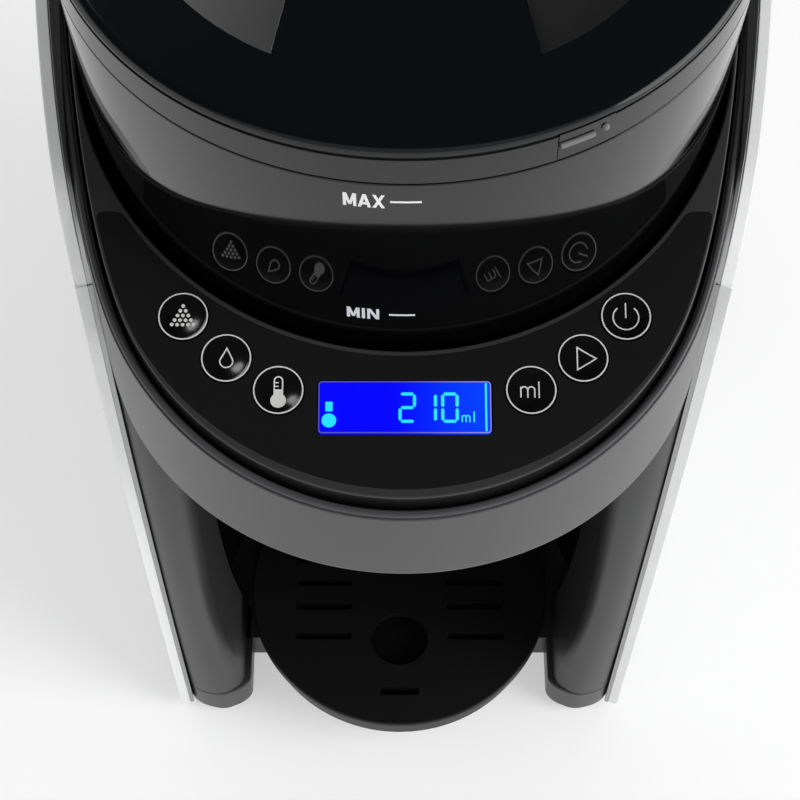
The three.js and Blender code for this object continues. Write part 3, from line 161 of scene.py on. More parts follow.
def sweep(start, end, count):
    """Angles from start to end in degrees, given in radians. A full turn leaves out its last one."""
    return np.radians(np.linspace(start, end, count, endpoint=end - start < 360))


def circle(x, y, radius, sides=96, start=0.0, end=360.0):
    """Points x + r cos a, y + r sin a, for a from start to end in degrees; a full circle isn't closed."""
    a = sweep(start, end, sides)
    return np.stack([x + radius * np.cos(a), y + radius * np.sin(a)], -1)


def rectangle(x0, x1, y0, y1, radius=0.0, steps=5):
    return rounded([[x0, y0], [x1, y0], [x1, y1], [x0, y1]], radius, steps)


def unit(vectors):
    return vectors / np.linalg.norm(vectors, axis=1, keepdims=True)


def raised(place, height):
    """Plan points with a height each, or with one height for all."""
    return np.column_stack([place, np.broadcast_to(height, len(place))])


def normals(outline):
    """Unit vectors square to a closed outline that runs anticlockwise, pointing outwards."""
    along = unit(np.roll(outline, -1, 0) - np.roll(outline, 1, 0))
    return np.stack([along[:, 1], -along[:, 0]], -1)


def turned(profile, x=0.0, y=0.0, sides=160, start=0.0, end=360.0):
    """Patch of a closed profile of (radius, height) points turned about the upright line through (x, y)."""
    a = sweep(start, end, sides)
    radius, level = profile[:, :1], profile[:, 1:]
    grid = np.stack([x + radius * np.cos(a), y + radius * np.sin(a), level + 0 * a], -1)
    return patch(grid, wrap_columns=end - start >= 360)


def walled(outline, profile, bottom, top, wrap=True, out=None):
    """Patch of a wall along an outline. A profile point (offset, share, rise) lies offset outside the
    outline, at share of the way from the bottom's height to the top's, plus rise."""
    out = normals(outline) if out is None else out
    offset, share, rise = (profile[:, i, None] for i in range(3))
    place = outline[None] + offset[..., None] * out[None]
    low, high = bottom(place[..., 1]), top(place[..., 1])
    level = low + (high - low) * share + rise
    return patch(np.concatenate([place, level[..., None]], -1), wrap_columns=wrap)


def wall_profile(outer, inner, top_soft, bottom_soft, steps=4, inner_bottom=None):
    """Closed profile of a plain wall with rounded rims, for walled(). Its inner bottom edge can have a
    radius of its own."""
    inner_bottom = bottom_soft if inner_bottom is None else inner_bottom
    a = np.radians(np.linspace(0, 90, steps + 1))
    rows = []
    for edge, side, share, up, soft, turn in (
            (outer, -1, 0, 1, bottom_soft, a[::-1]), (outer, -1, 1, -1, top_soft, a),
            (inner, 1, 1, -1, top_soft, a[::-1]), (inner, 1, 0, 1, inner_bottom, a)):
        rows.append(np.stack([edge + side * soft * (1 - np.cos(turn)), share + 0 * turn,
                              up * soft * (1 - np.sin(turn))], -1))
    return np.vstack(rows)


def slab(outline, bottom, top, soft=0.4, steps=3):
    """Patch of a slab with rounded rims: rings of the outline, drawn in by soft (1 - cos a) as they rise
    by soft (1 - sin a), closed by flat faces."""
    a = np.radians(np.linspace(0, 90, steps + 1)) if soft else np.zeros(1)
    inset = np.concatenate([(1 - np.sin(a)) * soft, (1 - np.sin(a[::-1])) * soft])
    level = np.concatenate([bottom + soft * (1 - np.cos(a)), top - soft * (1 - np.cos(a[::-1]))])
    if not soft:
        inset, level = np.zeros(2), np.array([bottom, top], float)
    place = outline[None] - inset[:, None, None] * normals(outline)[None]
    height = np.broadcast_to(level[:, None, None], place.shape[:2] + (1,))
    return patch(np.concatenate([place, height], -1), wrap_rows=False)


def box(x0, x1, y0, y1, z0, z1, soft=0.0):
    return slab(rectangle(x0, x1, y0, y1, soft), z0, z1, soft)


def upright_section(inner, outer, bottom, top):
    """A plain four-cornered profile of (radius, height) points, for turned()."""
    return np.array([[inner, bottom], [outer, bottom], [outer, top], [inner, top]], float)


def punch(outline, bottom, top, soft=0.0):
    """A tool to cut or join with: an upright bar over an outline."""
    return form("tool", slab(outline, bottom, top, soft))


def drill(y, radius, bottom, top, sides=64, soft=0.0):
    """A round bar that stands on the machine's middle line."""
    return punch(circle(0, y, radius, sides), bottom, top, soft)


def block(*bounds):
    return form("tool", box(*bounds))


# %% [markdown]
# In plan the machine is a round front that widens towards nearly straight sides, then a straight
# back with round corners. Every shell piece follows this outline at its own distance from it.
# The top slopes: it rises towards the back at 14 degrees and then runs level.

# %% The machine's outline and its sloping top
HEIGHT = 335.0
FRONT = -145.0
GAP = 0.3
HEAD_Y = -72.0
HEAD_RADIUS = 72.0
HALF_WIDTH = 85.5
SHOULDER_Y = 30.0
PANEL_FRONT = 255.5
TILT = math.radians(14)
SLOPE_END = -20.0
SEAM_DROP = 3.4


def plan(back, corner):
    """Closed outline: an arc of 64 degrees on each side of the front, a Bezier curve to the straight
    side, and a rounded rear corner, mirrored."""
    arc_end = -26.0
    arc = circle(0, HEAD_Y, HEAD_RADIUS, 49, -90, arc_end)
    along = np.array([-np.sin(np.radians(arc_end)), np.cos(np.radians(arc_end))])
    a, b = arc[-1], arc[-1] + 30 * along
    c, d = np.array([HALF_WIDTH, SHOULDER_Y - 40]), np.array([HALF_WIDTH, SHOULDER_Y])
    t = np.linspace(0, 1, 49)[1:, None]
    side = (1 - t) ** 3 * a + 3 * t * (1 - t) ** 2 * b + 3 * t ** 2 * (1 - t) * c + t ** 3 * d
    straight = np.stack([np.full(12, HALF_WIDTH), np.linspace(SHOULDER_Y, back - corner, 13)[1:]], -1)[:-1]
    turn = circle(HALF_WIDTH - corner, back - corner, corner, 17, 0, 90)
    across = np.stack([np.linspace(HALF_WIDTH - corner, 0, 12)[1:], np.full(11, back)], -1)
    half = np.vstack([arc, side, straight, turn, across])
    return np.vstack([half, half[-2:0:-1] * [-1, 1]])


head_plan = plan(60.0, 6.0)
body_plan = plan(140.0, 28.0)


def panel(y):
    """Height of the panel's plane at y, with the crease where it turns level rounded off."""
    slope = math.tan(TILT)
    reach = np.asarray(y) - FRONT
    over = np.asarray(y) - SLOPE_END
    return PANEL_FRONT + slope * (reach - 0.5 * (over + np.sqrt(over * over + 4.0)))


def right_side(outline, beyond=0.0):
    """The points of an outline on the right, in front of the rear corner."""
    return outline[(outline[:, 0] > beyond) & (outline[:, 1] < 100)]


def level(z):
    return lambda y: z + 0 * np.asarray(y)


def below_panel(drop):
    return lambda y: panel(y) - drop


def onto_panel(piece, x, y):
    """Moves a piece made flat about the origin onto the sloping panel at (x, y)."""
    height = PANEL_FRONT + math.tan(TILT) * (y - FRONT)
    piece.data.transform(Matrix.Translation(Vector((x, y, height)) * MM) @ Matrix.Rotation(TILT, 4, "X"))
    return piece


print("outline points:", len(head_plan), len(body_plan))

# %% [markdown]
# Finishes come next. A material is a small program: noise that lies in the piece's own
# coordinates moves the roughness, the colour or the surface a little. The class below lets that
# program be written as plain sums, so that each finish reads like its recipe.

# %% A small language for materials


class Number:
    """An output socket that can be added to and multiplied like a number."""

    def __init__(self, paint, socket):
        self.paint, self.socket = paint, socket

    def math(self, operation, *others):
        values = dict(enumerate([self, *others]))
        return self.paint.node("ShaderNodeMath", {"operation": operation}, values)

    def __add__(self, other):
        return self.math("ADD", other)

    def __mul__(self, other):
        return self.math("MULTIPLY", other)

    __radd__ = __add__
    __rmul__ = __mul__

    def between(self, low, high, start=0.0, end=1.0):
        """start below low, end above high and a smooth step in between."""
        values = {"Value": self, "From Min": low, "From Max": high, "To Min": start, "To Max": end}
        return self.paint.node("ShaderNodeMapRange", {"interpolation_type": "SMOOTHSTEP"}, values)


class Paint:
    """A node tree whose nodes take numbers, colours or other nodes' outputs."""

    def __init__(self, tree):
        self.tree = tree

    def node(self, kind, settings=None, values=None, output=0):
        made = self.tree.nodes.new(kind)
        for key, value in (settings or {}).items():
            setattr(made, key, value)
        for key, value in (values or {}).items():
            self.feed(made.inputs[key], value)
        return Number(self, made.outputs[output])

    def feed(self, socket, value):
        if isinstance(value, Number):
            self.tree.links.new(value.socket, socket)
        elif hasattr(socket.default_value, "__len__"):
            wanted = len(socket.default_value)
            socket.default_value = (*value, 1)[:wanted] if len(value) < wanted else tuple(value)[:wanted]
        else:
            socket.default_value = value


class Finish(Paint):
    """A material with one Principled shader, whose sockets take numbers, colours or links."""

    def __init__(self, name, color, roughness, **sockets):
        self.material = bpy.data.materials.new(name)
        self.material.use_nodes = True
        super().__init__(self.material.node_tree)
        self.shader = self.tree.nodes["Principled BSDF"]
        self.place = self.node("ShaderNodeTexCoord", output="Object")
        self.set({"Base Color": color, "Roughness": roughness})
        self.set({key.replace("_", " "): value for key, value in sockets.items()})
        self.material.diffuse_color = (*color[:3], 1)

    def set(self, values):
        for key, value in values.items():
            self.feed(self.shader.inputs[key], value)
        return self

    def noise(self, scale, detail=2.0):
        return self.node("ShaderNodeTexNoise", None, {"Vector": self.place, "Scale": scale, "Detail": detail})

    def mixed(self, share, a, b):
        return self.node("ShaderNodeMix", {"data_type": "RGBA"}, {0: share, 6: a, 7: b}, output=2)

    def bump(self, height, depth, strength=1.0):
        """Raises the surface by height times depth, in metres."""
        made = self.node("ShaderNodeBump", None, {"Height": height, "Distance": depth, "Strength": strength})
        return self.set({"Normal": made})


def varied(color, spread):
    """A colour a little darker and a little lighter, for a mix that clouds it."""
    return [c * (1 - spread) for c in color], [c * (1 + spread) for c in color]


# %% [markdown]
# Satin plastic has a fine eroded grain of a few tenths of a millimetre. Gloss plastic is smooth,
# with only the faint waviness of a moulding and hairline wear in its roughness. The silver side
# panels are painted, so tiny flakes tilt the light. Their narrow edge catches the light from above,
# and that light is painted on: the edge gets a painted highlight, a much paler and less metallic
# copy of the silver that shows nearly white. Brightening the whole panel instead would burn its
# large face out when it is seen from the side.

# %% The finishes


def satin(name, color, roughness=0.42, grain=2600.0, depth=6e-6, **sockets):
    made = Finish(name, color, roughness, **sockets)
    grains = made.noise(grain, 3.0)
    cloud = made.noise(28.0)
    made.set({"Roughness": roughness - 0.05 + 0.1 * cloud,
              "Base Color": made.mixed(cloud, *varied(color, 0.08))})
    made.bump(grains, depth)
    return made.material


def gloss(name, color, roughness=0.06, wave=6e-6):
    made = Finish(name, color, roughness)
    hairlines = made.noise(900.0, 4.0)
    smear = made.noise(16.0, 3.0)
    made.set({"Roughness": roughness + 0.03 * smear.between(0.45, 0.75) + 0.015 * hairlines,
              "Base Color": made.mixed(smear, *varied(color, 0.15))})
    made.bump(made.noise(55.0, 1.0), wave)
    return made.material


def metal(name, color, roughness):
    """Brushed metal: its noise is squeezed along the piece's height."""
    made = Finish(name, color, roughness, Metallic=1.0)
    stretched = made.node("ShaderNodeMapping", None, {"Vector": made.place, "Scale": (1.0, 1.0, 40.0)})
    brushed = made.node("ShaderNodeTexNoise", None, {"Vector": stretched, "Scale": 220.0, "Detail": 4.0})
    made.set({"Roughness": roughness - 0.08 + 0.16 * brushed})
    made.bump(brushed, 3e-6)
    return made.material


def silver_paint(name, color, metallic):
    made = Finish(name, color, 0.38, Metallic=metallic, Coat_Weight=0.3, Coat_Roughness=0.2)
    flakes = made.node("ShaderNodeTexVoronoi", None, {"Vector": made.place, "Scale": 5200.0})
    cloud = made.noise(20.0)
    darker, lighter = varied(color, 0.1)
    made.set({"Base Color": made.mixed(flakes, lighter, darker), "Roughness": 0.34 + 0.08 * cloud})
    made.bump(flakes, 4e-6, 0.6)
    return made.material


def lit(name, color, other, power=1.0):
    """A glowing finish whose colour runs from one side of the display to the other."""
    made = Finish(name, (0.0, 0.0, 0.0), 0.3)
    across = made.node("ShaderNodeSeparateXYZ", None, {"Vector": made.place}, output="X")
    glow = made.mixed(across.between(-0.004, 0.02), color, other)
    made.set({"Emission Color": glow, "Emission Strength": power})
    return made.material


def circuit():
    made = Finish("circuit_board", (0.01, 0.09, 0.03), 0.35)
    tracks = made.node("ShaderNodeTexBrick", {"offset": 0.3},
                       {"Vector": made.place, "Scale": 160.0, "Mortar Size": 0.012,
                        "Color1": (0.008, 0.075, 0.025, 1), "Color2": (0.012, 0.10, 0.035, 1),
                        "Mortar": (0.02, 0.17, 0.05, 1)}, output="Color")
    made.set({"Base Color": tracks})
    return made.material


GREY = (0.046, 0.046, 0.049)
satin_grey = satin("satin_grey", GREY, 0.36)
leg_grey = satin("leg_grey", [c * 0.6 for c in GREY], 0.4)
panel_grey = satin("panel_grey", (0.028, 0.028, 0.029), 0.34)
silver = silver_paint("silver_paint", (0.44, 0.445, 0.45), 0.5)
# A paler, less metallic copy of the silver paint: a painted highlight for the side panels' narrow edges.
pale_silver_highlight = silver_paint("pale_silver_highlight", (0.82, 0.825, 0.83), 0.1)
gloss_black = gloss("gloss_black", (0.0025, 0.0026, 0.003))
lid_black = gloss("lid_black", (0.0022, 0.0026, 0.0036), 0.05)
grip_black = satin("grip_black", (0.006, 0.006, 0.0065), 0.33, grain=2400.0, depth=3e-6)
button_black = gloss("button_black", (0.0025, 0.0026, 0.003), 0.12)
lock_grey = satin("lock_grey", (0.13, 0.13, 0.132), 0.4)
smoke = gloss("smoke_plastic", (0.0015, 0.0016, 0.0018), 0.035, wave=3e-6)
film_black = satin("film_black", (0.0072, 0.0072, 0.0074), 0.3, grain=4200.0, depth=1.2e-6,
                   Specular_IOR_Level=0.35)
matt_black = satin("matt_black", (0.0055, 0.0055, 0.006), 0.42, grain=1500.0, depth=1.2e-5)
rubber = satin("rubber", (0.006, 0.006, 0.006), 0.75, grain=1200.0, depth=2e-5)
inner_grey = satin("inner_grey", (0.24, 0.245, 0.25), 0.5)
white_plastic = satin("white_plastic", (0.72, 0.72, 0.70), 0.45)
steel = metal("steel", (0.55, 0.56, 0.58), 0.3)
dark_metal = satin("dark_metal", (0.36, 0.36, 0.365), 0.3, grain=3000.0, depth=8e-7, Metallic=1.0)
heater_metal = metal("cast_metal", (0.6, 0.6, 0.61), 0.45)
board = circuit()
hose_rubber = satin("silicone_hose", (0.62, 0.64, 0.65), 0.35, grain=400.0, depth=4e-6)
print_grey = satin("light_print", (0.60, 0.60, 0.59), 0.45, grain=3000.0, depth=1e-6)
print_white = satin("white_print", (0.86, 0.86, 0.86), 0.5, grain=3000.0, depth=1e-6)
blue_glow = lit("display_blue", (0.0, 0.0, 1.0), (0.0, 0.05, 1.0))
cyan_glow = lit("display_digits", (0.02, 0.76, 1.0), (0.04, 0.82, 1.0))
pale_glow = lit("display_edge", (0.16, 0.14, 0.62), (0.45, 0.42, 0.95), 0.7)

inner_finishes = (
    (inner_grey, "head_floor"),
    (white_plastic, "dosing_wheel stirrer powder_scraper drive_hub hub_gear idler_gear motor_pinion"),
    (white_plastic, "valve_plunger valve_cap water_pump water_nozzle"),
    (steel, "idler_pin gear_motor tank_hinge_pin valve_spring"),
    (matt_black, "display_module"), (heater_metal, "water_heater"), (board, "control_board power_board"),
    (hose_rubber, "nozzle_hose pump_hose tank_hose"), (rubber, "lid_seal"),
)
for material, names in inner_finishes:
    for name in names.split():
        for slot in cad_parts[name].material_slots:
            slot.material = material


def dressed(piece, material, body="housing", nodes=(), angle=35):
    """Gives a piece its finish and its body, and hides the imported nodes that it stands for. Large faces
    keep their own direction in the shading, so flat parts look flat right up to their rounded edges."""
    piece.data.materials.clear()
    piece.data.materials.append(material)
    piece.data.shade_smooth()
    piece.data.set_sharp_from_angle(angle=math.radians(angle))
    shading = piece.modifiers.new("even shading", "WEIGHTED_NORMAL")
    shading.keep_sharp = True
    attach(piece, body)
    if nodes:
        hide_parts(*nodes)
    return piece


def faces_of(piece):
    """The middles of a piece's faces in millimetres, and the ways they face."""
    faces = piece.data.polygons
    return np.array([face.center for face in faces]) / MM, np.array([face.normal for face in faces])


def two_toned(piece, material, chosen):
    """Gives the chosen faces of a piece a second finish."""
    piece.data.materials.append(material)
    piece.data.polygons.foreach_set("material_index", chosen.astype(np.int32))


print(len(bpy.data.materials), "materials")

# %% [markdown]
# The head's shell is three nested rings that follow the outline: the grey band, whose bottom edge
# is rounded wide, a trim ring above its seam, and the bezel of the panel behind a narrow groove.
# The bezel is a surface between two curves: each of its points lies at some share of the way from
# the round well to the outline. It has a shallow seat for the black film, and holes for the buttons
# and the display. Its outer wall gets matt black as painted shade, which keeps the groove dark; a
# grey wall there would pick up light from the trim ring beside it.

# %% Places on the panel
AXIS_Y = -31.0
HEAD_BOTTOM = 225.0
WELL_RADIUS = 77.6
BUTTON_RADIUS = 5.7
DISPLAY_Y = -121.5
DISPLAY_WIDTH, DISPLAY_LENGTH = 38.4, 12.1
ARC_RADIUS, ARC_Y = 64.8, HEAD_Y + 12.7
button_turns = [39.8, 52.05, 64.3]
places = {}
for side, names in ((-1, ("powder", "water", "temperature")), (1, ("power", "start", "volume"))):
    for name, turn in zip(names, button_turns):
        a = math.radians(turn)
        places[name] = (side * ARC_RADIUS * math.cos(a), ARC_Y - ARC_RADIUS * math.sin(a))


def up_slope(y):
    """How far up the sloping panel a place at y lies, from its front edge."""
    return (y - FRONT) / math.cos(TILT)


def film_outline(grow=0.0):
    """The crescent between the well and the outline, with rounded ends, as points on the panel. It
    comes nearer to the outline towards the sides: its inset falls evenly with the way back."""
    end_y, inner_radius, tip = -76.0 + grow, 78.9 - grow, 4.5
    inset = 4.2 - 1.25 * np.clip((body_plan[:, 1] + 140) / 33, 0, 1) - grow
    outer = body_plan - inset[:, None] * normals(body_plan)
    outer = outer[(outer[:, 0] >= 0) & (outer[:, 1] < 0)]
    outer = outer[np.argsort(outer[:, 1])]
    right = outer[outer[:, 1] < end_y - tip]
    reach = math.sqrt(inner_radius ** 2 - (end_y - AXIS_Y) ** 2)
    tips = np.array([[np.interp(end_y, outer[:, 1], outer[:, 0]), end_y], [reach, end_y]])
    inner = circle(0, AXIS_Y, inner_radius, 160, 0, -180)
    inner = inner[inner[:, 1] < end_y - tip]
    corners = np.vstack([right, tips, inner, tips[::-1] * [-1, 1], right[:0:-1] * [-1, 1]])
    plain = np.zeros(len(right))
    radii = np.concatenate([plain, [2.0, 1.6], np.zeros(len(inner)), [1.6, 2.0], plain[1:]])
    outline = rounded(corners, radii)
    return np.stack([outline[:, 0], up_slope(outline[:, 1])], -1)


def panel_tool(outline, low, high):
    """A cutting tool that stands square on the panel, over an outline drawn on it."""
    return onto_panel(punch(outline, low, high), 0, FRONT)


def round_tools(radius, low, high):
    return [panel_tool(circle(x, up_slope(y), radius), low, high) for x, y in places.values()]


def window_tool(room, low, high):
    middle = up_slope(DISPLAY_Y)
    half, length = DISPLAY_WIDTH / 2 + room, DISPLAY_LENGTH / 2 + room
    return panel_tool(rectangle(-half, half, middle - length, middle + length, 1.2), low, high)


print("film outline:", len(film_outline()), "points")

# %% Head shell: band, trim ring and bezel

band_wall = wall_profile(1.0, -1.4, top_soft=0.3, bottom_soft=2.0, steps=8, inner_bottom=0.3)
band = form("head_band_shell", walled(head_plan, band_wall, level(HEAD_BOTTOM), below_panel(SEAM_DROP + GAP)))
dressed(band, satin_grey, nodes=["head_band"])

trim_wall = wall_profile(0.6, -0.9, top_soft=0.62, bottom_soft=0.1, steps=6)
trim = form("trim_ring_shell", walled(head_plan, trim_wall, below_panel(SEAM_DROP), below_panel(2.6)))
dressed(trim, satin_grey, nodes=["trim_ring"])


def bezel():
    """Rows run from the well's rim over the flat panel and its rolled edge, down and back underneath."""
    a = sweep(0, 90, 7)
    edge, roll, deep = -2.2, 0.45, 6.0
    out = normals(head_plan)
    rolled = head_plan[None] + (edge - roll * (1 - np.sin(a)))[:, None, None] * out[None]
    ring = [0, AXIS_Y] + unit(head_plan - [0, AXIS_Y]) * WELL_RADIUS
    rim = ring + (ring - [0, AXIS_Y]) / WELL_RADIUS * 0.4
    rows = [(ring, deep), (ring, 0.4), (rim, 0.0)]
    rows += [(rim + (rolled[0] - rim) * share, 0.0) for share in (0.25, 0.5, 0.75)]
    rows += [(place, roll * (1 - math.cos(turn))) for place, turn in zip(rolled, a)]
    rows += [(rolled[-1], deep)]
    grid = np.stack([raised(place, panel(place[:, 1]) - drop) for place, drop in rows])
    made = form("panel_bezel_shell", patch(grid))
    seat = panel_tool(film_outline(0.06), -1.1, 4)
    holes = [*round_tools(6.2, -20, 4), *round_tools(7.5, -20, -2.3)]
    return carved(made, seat, window_tool(GAP, -20, 4), *holes)


bezel_piece = dressed(bezel(), panel_grey, nodes=["panel_bezel"])
spots, ways = faces_of(bezel_piece)
walls = (np.abs(ways[:, 2]) < 0.3) & (np.hypot(spots[:, 0], spots[:, 1] - AXIS_Y) > 60)
# The bezel's upright outer wall below its rim gets matt black: painted shade that keeps the groove dark.
two_toned(bezel_piece, matt_black, walls & (panel(spots[:, 1]) - spots[:, 2] > 0.6))
print("head shell:", len(spots), "faces in the bezel,", walls.sum(), "of them upright")

# %% [markdown]
# The black film is one thin crescent between the well and the bezel's edge, with round ends. It
# lies in the sloping plane, so it is drawn flat, given its thickness, and cut out round the
# buttons and the display.

# %% Button film


def film():
    made = panel_tool(film_outline(), -0.8, 0.0)
    made.name = "button_film_sheet"
    carved(made, window_tool(GAP, -3, 3), *round_tools(BUTTON_RADIUS + 0.22, -3, 3))
    return softened(made, 0.12, 2)


dressed(film(), film_black, nodes=["button_film"], angle=25)
print("film over", len(places), "buttons")

# %% [markdown]
# Each button is a glossy cap, dished like a saucer, with a light ring and a sign. The signs are
# thin raised prints: strokes are ribbons along a line, and filled shapes are grids drawn from
# their middle to their outline. Both follow the dish, whose height is a parabola of the radius.

# %% Buttons and their signs
DISH_RADIUS = 5.25
DISH = 0.62
RISE = 0.3
PRINT = 0.035


def dish(u, v):
    """Height of the cap above the panel: rise - dish (1 - (r / R)^2) inside R, flat outside."""
    share = np.clip((u * u + v * v) / DISH_RADIUS ** 2, 0, 1)
    return RISE - DISH * (1 - share)


def cap(name):
    radius = np.linspace(0, DISH_RADIUS, 12)
    top = np.stack([radius, dish(radius, 0)], -1)
    edge = rounded([[0, -9], [BUTTON_RADIUS, RISE], [BUTTON_RADIUS, -2.6]], [0, 0.18, 0])[1:-1]
    under = np.array([[BUTTON_RADIUS, -2.6], [7.0, -2.6], [7.0, -3.8], [1.8, -3.8], [1.8, -7.0], [0, -7.0]])
    return form(name, turned(np.vstack([top, [[BUTTON_RADIUS - 0.18, RISE]], edge[1:], under]), sides=96))


def stroke(line, width, closed=False, surface=dish, step=0.25, high=PRINT, low=0.08):
    """Patch of a ribbon along a line: half a width to each side, mitred at its corners, from just under
    the surface to just over it."""
    line = np.asarray(line, float)
    full = np.vstack([line, line[:1]]) if closed else line
    far = np.concatenate([[0], np.cumsum(np.linalg.norm(np.diff(full, axis=0), axis=1))])
    marks = np.unique(np.concatenate([far, np.arange(0, far[-1], step)]))
    marks = marks[np.concatenate([[True], np.diff(marks) > step * 0.05])]
    marks = marks[:-1] if closed else marks
    points = np.stack([np.interp(marks, far, full[:, i]) for i in (0, 1)], -1)
    ahead = np.roll(points, -1, 0) - points
    behind = points - np.roll(points, 1, 0)
    if not closed:
        ahead[-1], behind[0] = behind[-1], ahead[0]
    ahead, behind = unit(ahead), unit(behind)
    middle = unit(ahead + behind)
    square = np.stack([-middle[:, 1], middle[:, 0]], -1)
    side = square * width / 2 / np.clip((middle * ahead).sum(1, keepdims=True), 0.4, 1)
    rows = []
    for way, lift in ((1, -low), (1, high), (-1, high), (-1, -low)):
        place = points + way * side
        rows.append(raised(place, surface(*place.T) + lift))
    return patch(np.stack(rows), wrap_columns=closed)


def filled(outline, surface=dish, high=PRINT, low=0.08, rings=4):
    """Patch of a filled shape: rings from its middle to its outline, over and under the surface."""
    outline = np.asarray(outline, float)
    middle = outline.mean(0)
    shares = np.linspace(0, 1, rings + 1)
    rows = []
    for share, lift in [*((share, high) for share in shares), *((share, -low) for share in shares[::-1])]:
        place = middle + (outline - middle) * share
        rows.append(raised(place, surface(*place.T) + lift))
    return patch(np.stack(rows))


def sign(name):
    """The patches of a button's sign, about the button's middle, in millimetres."""
    line = 0.3
    if name == "powder":
        return [filled(circle(-0.1 + 1.22 * (i - row / 2), 2.6 - 1.11 * row, 0.43, 20), rings=2)
                for row in range(5) for i in range(row + 1)]
    if name == "water":
        bowl = circle(0, -0.65, 1.45, 40, -200, 20)
        return [stroke(np.vstack([[[0.1, 2.45]], bowl]), line, closed=True)]
    if name == "temperature":
        half = 0.92
        bulb = circle(0, -2.35, 1.75, 48)
        tube = np.vstack([[[-half, -0.9]], circle(0, 2.25, half, 24, 180, 0), [[half, -0.9]]])
        column = rectangle(-half, half, -1.2, 0.3)
        ticks = [stroke([[-0.8, v], [0.05, v]], 0.26) for v in (1.0, 1.85)]
        return [filled(bulb), stroke(tube, line), filled(column), *ticks]
    if name == "volume":
        stem = [[-2.3, -1.65], [-2.3, 0.9]]
        hump = circle(-1.5, 0.15, 0.75, 16, 180, 0)
        arches = [np.vstack([hump + [1.55 * i, 0], [[-0.75 + 1.55 * i, -1.65]]]) for i in (0, 1)]
        return [stroke(points, line) for points in (stem, *arches, [[1.75, -1.75], [1.75, 2.1]])]
    if name == "start":
        return [stroke([[-1.27, 2.6], [-1.27, -2.64], [2.95, -0.02]], line, closed=True)]
    ring = circle(0, -0.15, 2.9, 60, 130, 410)
    return [stroke(ring, line), stroke([[0, -0.2], [0, 3.25]], line)]


for name, (x, y) in places.items():
    dressed(onto_panel(cap(f"{name}_button_cap"), x, y), button_black, name, [f"{name}_button"], angle=50)
    ring = stroke(circle(0, 0, 5.44, 96), 0.3, closed=True, surface=lambda u, v: RISE + 0 * u, low=0.2)
    print_piece = form(f"{name}_button_print", ring, *sign(name))
    dressed(onto_panel(print_piece, x, y), print_grey, name)
print("buttons:", ", ".join(places))

# %% [markdown]
# The display is a lit blue pane with a pale glowing edge. Its digits are the seven strokes of a
# plain numeric display, each a short bar with pointed ends. The pane glows weakly beside daylight,
# so it leaves no blue patch on the gloss around it: its pieces are hidden from reflections.

# %% Display


THIN = {"high": 0.03, "low": 0.02}


def flat(u, v):
    return 0 * u


def bar(a, b, width=0.72, cut=0.36):
    """Outline of one display stroke: a bar from a to b with pointed ends."""
    a, b = np.asarray(a, float), np.asarray(b, float)
    along = (b - a) / np.linalg.norm(b - a)
    square = np.array([-along[1], along[0]]) * width / 2
    inner_a, inner_b = a + along * cut, b - along * cut
    return np.array([a, inner_a - square, inner_b - square, b, inner_b + square, inner_a + square])


def digit(shape, x):
    """The strokes of a digit, lettered a to g from the top clockwise with g in the middle."""
    low, middle, high, wide, slip = -3.3, (-3.3 + 3.05) / 2, 3.05, 3.2, 0.1
    ends = {"a": (0, high, wide, high), "b": (wide, middle, wide, high), "c": (wide, low, wide, middle),
            "d": (0, low, wide, low), "e": (0, low, 0, middle), "f": (0, middle, 0, high),
            "g": (0, middle, wide, middle)}
    made = []
    for key in shape:
        a, b = np.array(ends[key], float).reshape(2, 2) + [x, 0]
        along = (b - a) / np.linalg.norm(b - a)
        made.append(filled(bar(a + along * slip, b - along * slip), flat, rings=1, **THIN))
    return made


def small_letters(x, y):
    """The unit of volume in small strokes."""
    hump = circle(0.52, 1.1, 0.42, 12, 180, 0)
    arches = [np.vstack([hump + [0.84 * i, 0], [[0.94 + 0.84 * i, 0]]]) for i in (0, 1)]
    parts = [stroke(line, 0.3, surface=flat, **THIN) for line in ([[0.1, 0], [0.1, 1.5]], *arches)]
    parts.append(stroke([[2.75, 0], [2.75, 2.45]], 0.34, surface=flat, **THIN))
    return [(points + [x, y, 0], faces) for points, faces in parts]


half_width, half_length = DISPLAY_WIDTH / 2, DISPLAY_LENGTH / 2
pane_outline = rectangle(-half_width, half_width, -half_length, half_length, 1.0, 8)
pane = onto_panel(form("display_pane", slab(pane_outline, -1.2, 0.0, 0.15)), 0, DISPLAY_Y)
dressed(pane, blue_glow, nodes=["display_window"])
edge_line = form("display_edge_line", stroke(pane_outline - 0.14 * normals(pane_outline), 0.22, closed=True,
                                             surface=flat, step=1.0, high=0.02, low=0.05))
dressed(onto_panel(edge_line, 0, DISPLAY_Y), pale_glow)
digits = [*digit("abged", -1.05), *digit("bc", 3.6), *digit("abcdef", 8.4), *small_letters(12.6, -3.5)]
bulb = filled(circle(-16.8, -3.1, 1.62, 32), flat, **THIN)
tube = filled(rectangle(-17.6, -16.0, -1.0, 1.25, 0.2), flat, rings=1, **THIN)
line = filled(rectangle(17.8, 18.25, -5.6, 5.6, 0.1), flat, rings=1, **THIN)
signs = onto_panel(form("display_digits_print", *digits, bulb, tube, line), 0, DISPLAY_Y)
dressed(signs, cyan_glow)
for piece in (pane, edge_line, signs):
    piece.visible_glossy = False
print("display:", DISPLAY_WIDTH, "x", DISPLAY_LENGTH, "mm")

# %% [markdown]
# The powder container is a tapered cup in smoked plastic, and it stands in a round well in the
# head. Both are turned shapes: a profile carried round the upright axis.

# %% Container and well
RIM = 324.5
CONTAINER_RADIUS = 78.0
OUTLET_Y = -68.0
TAPER = math.tan(math.radians(2.6))


def cup_radius(z):
    return CONTAINER_RADIUS - (RIM - z) * TAPER


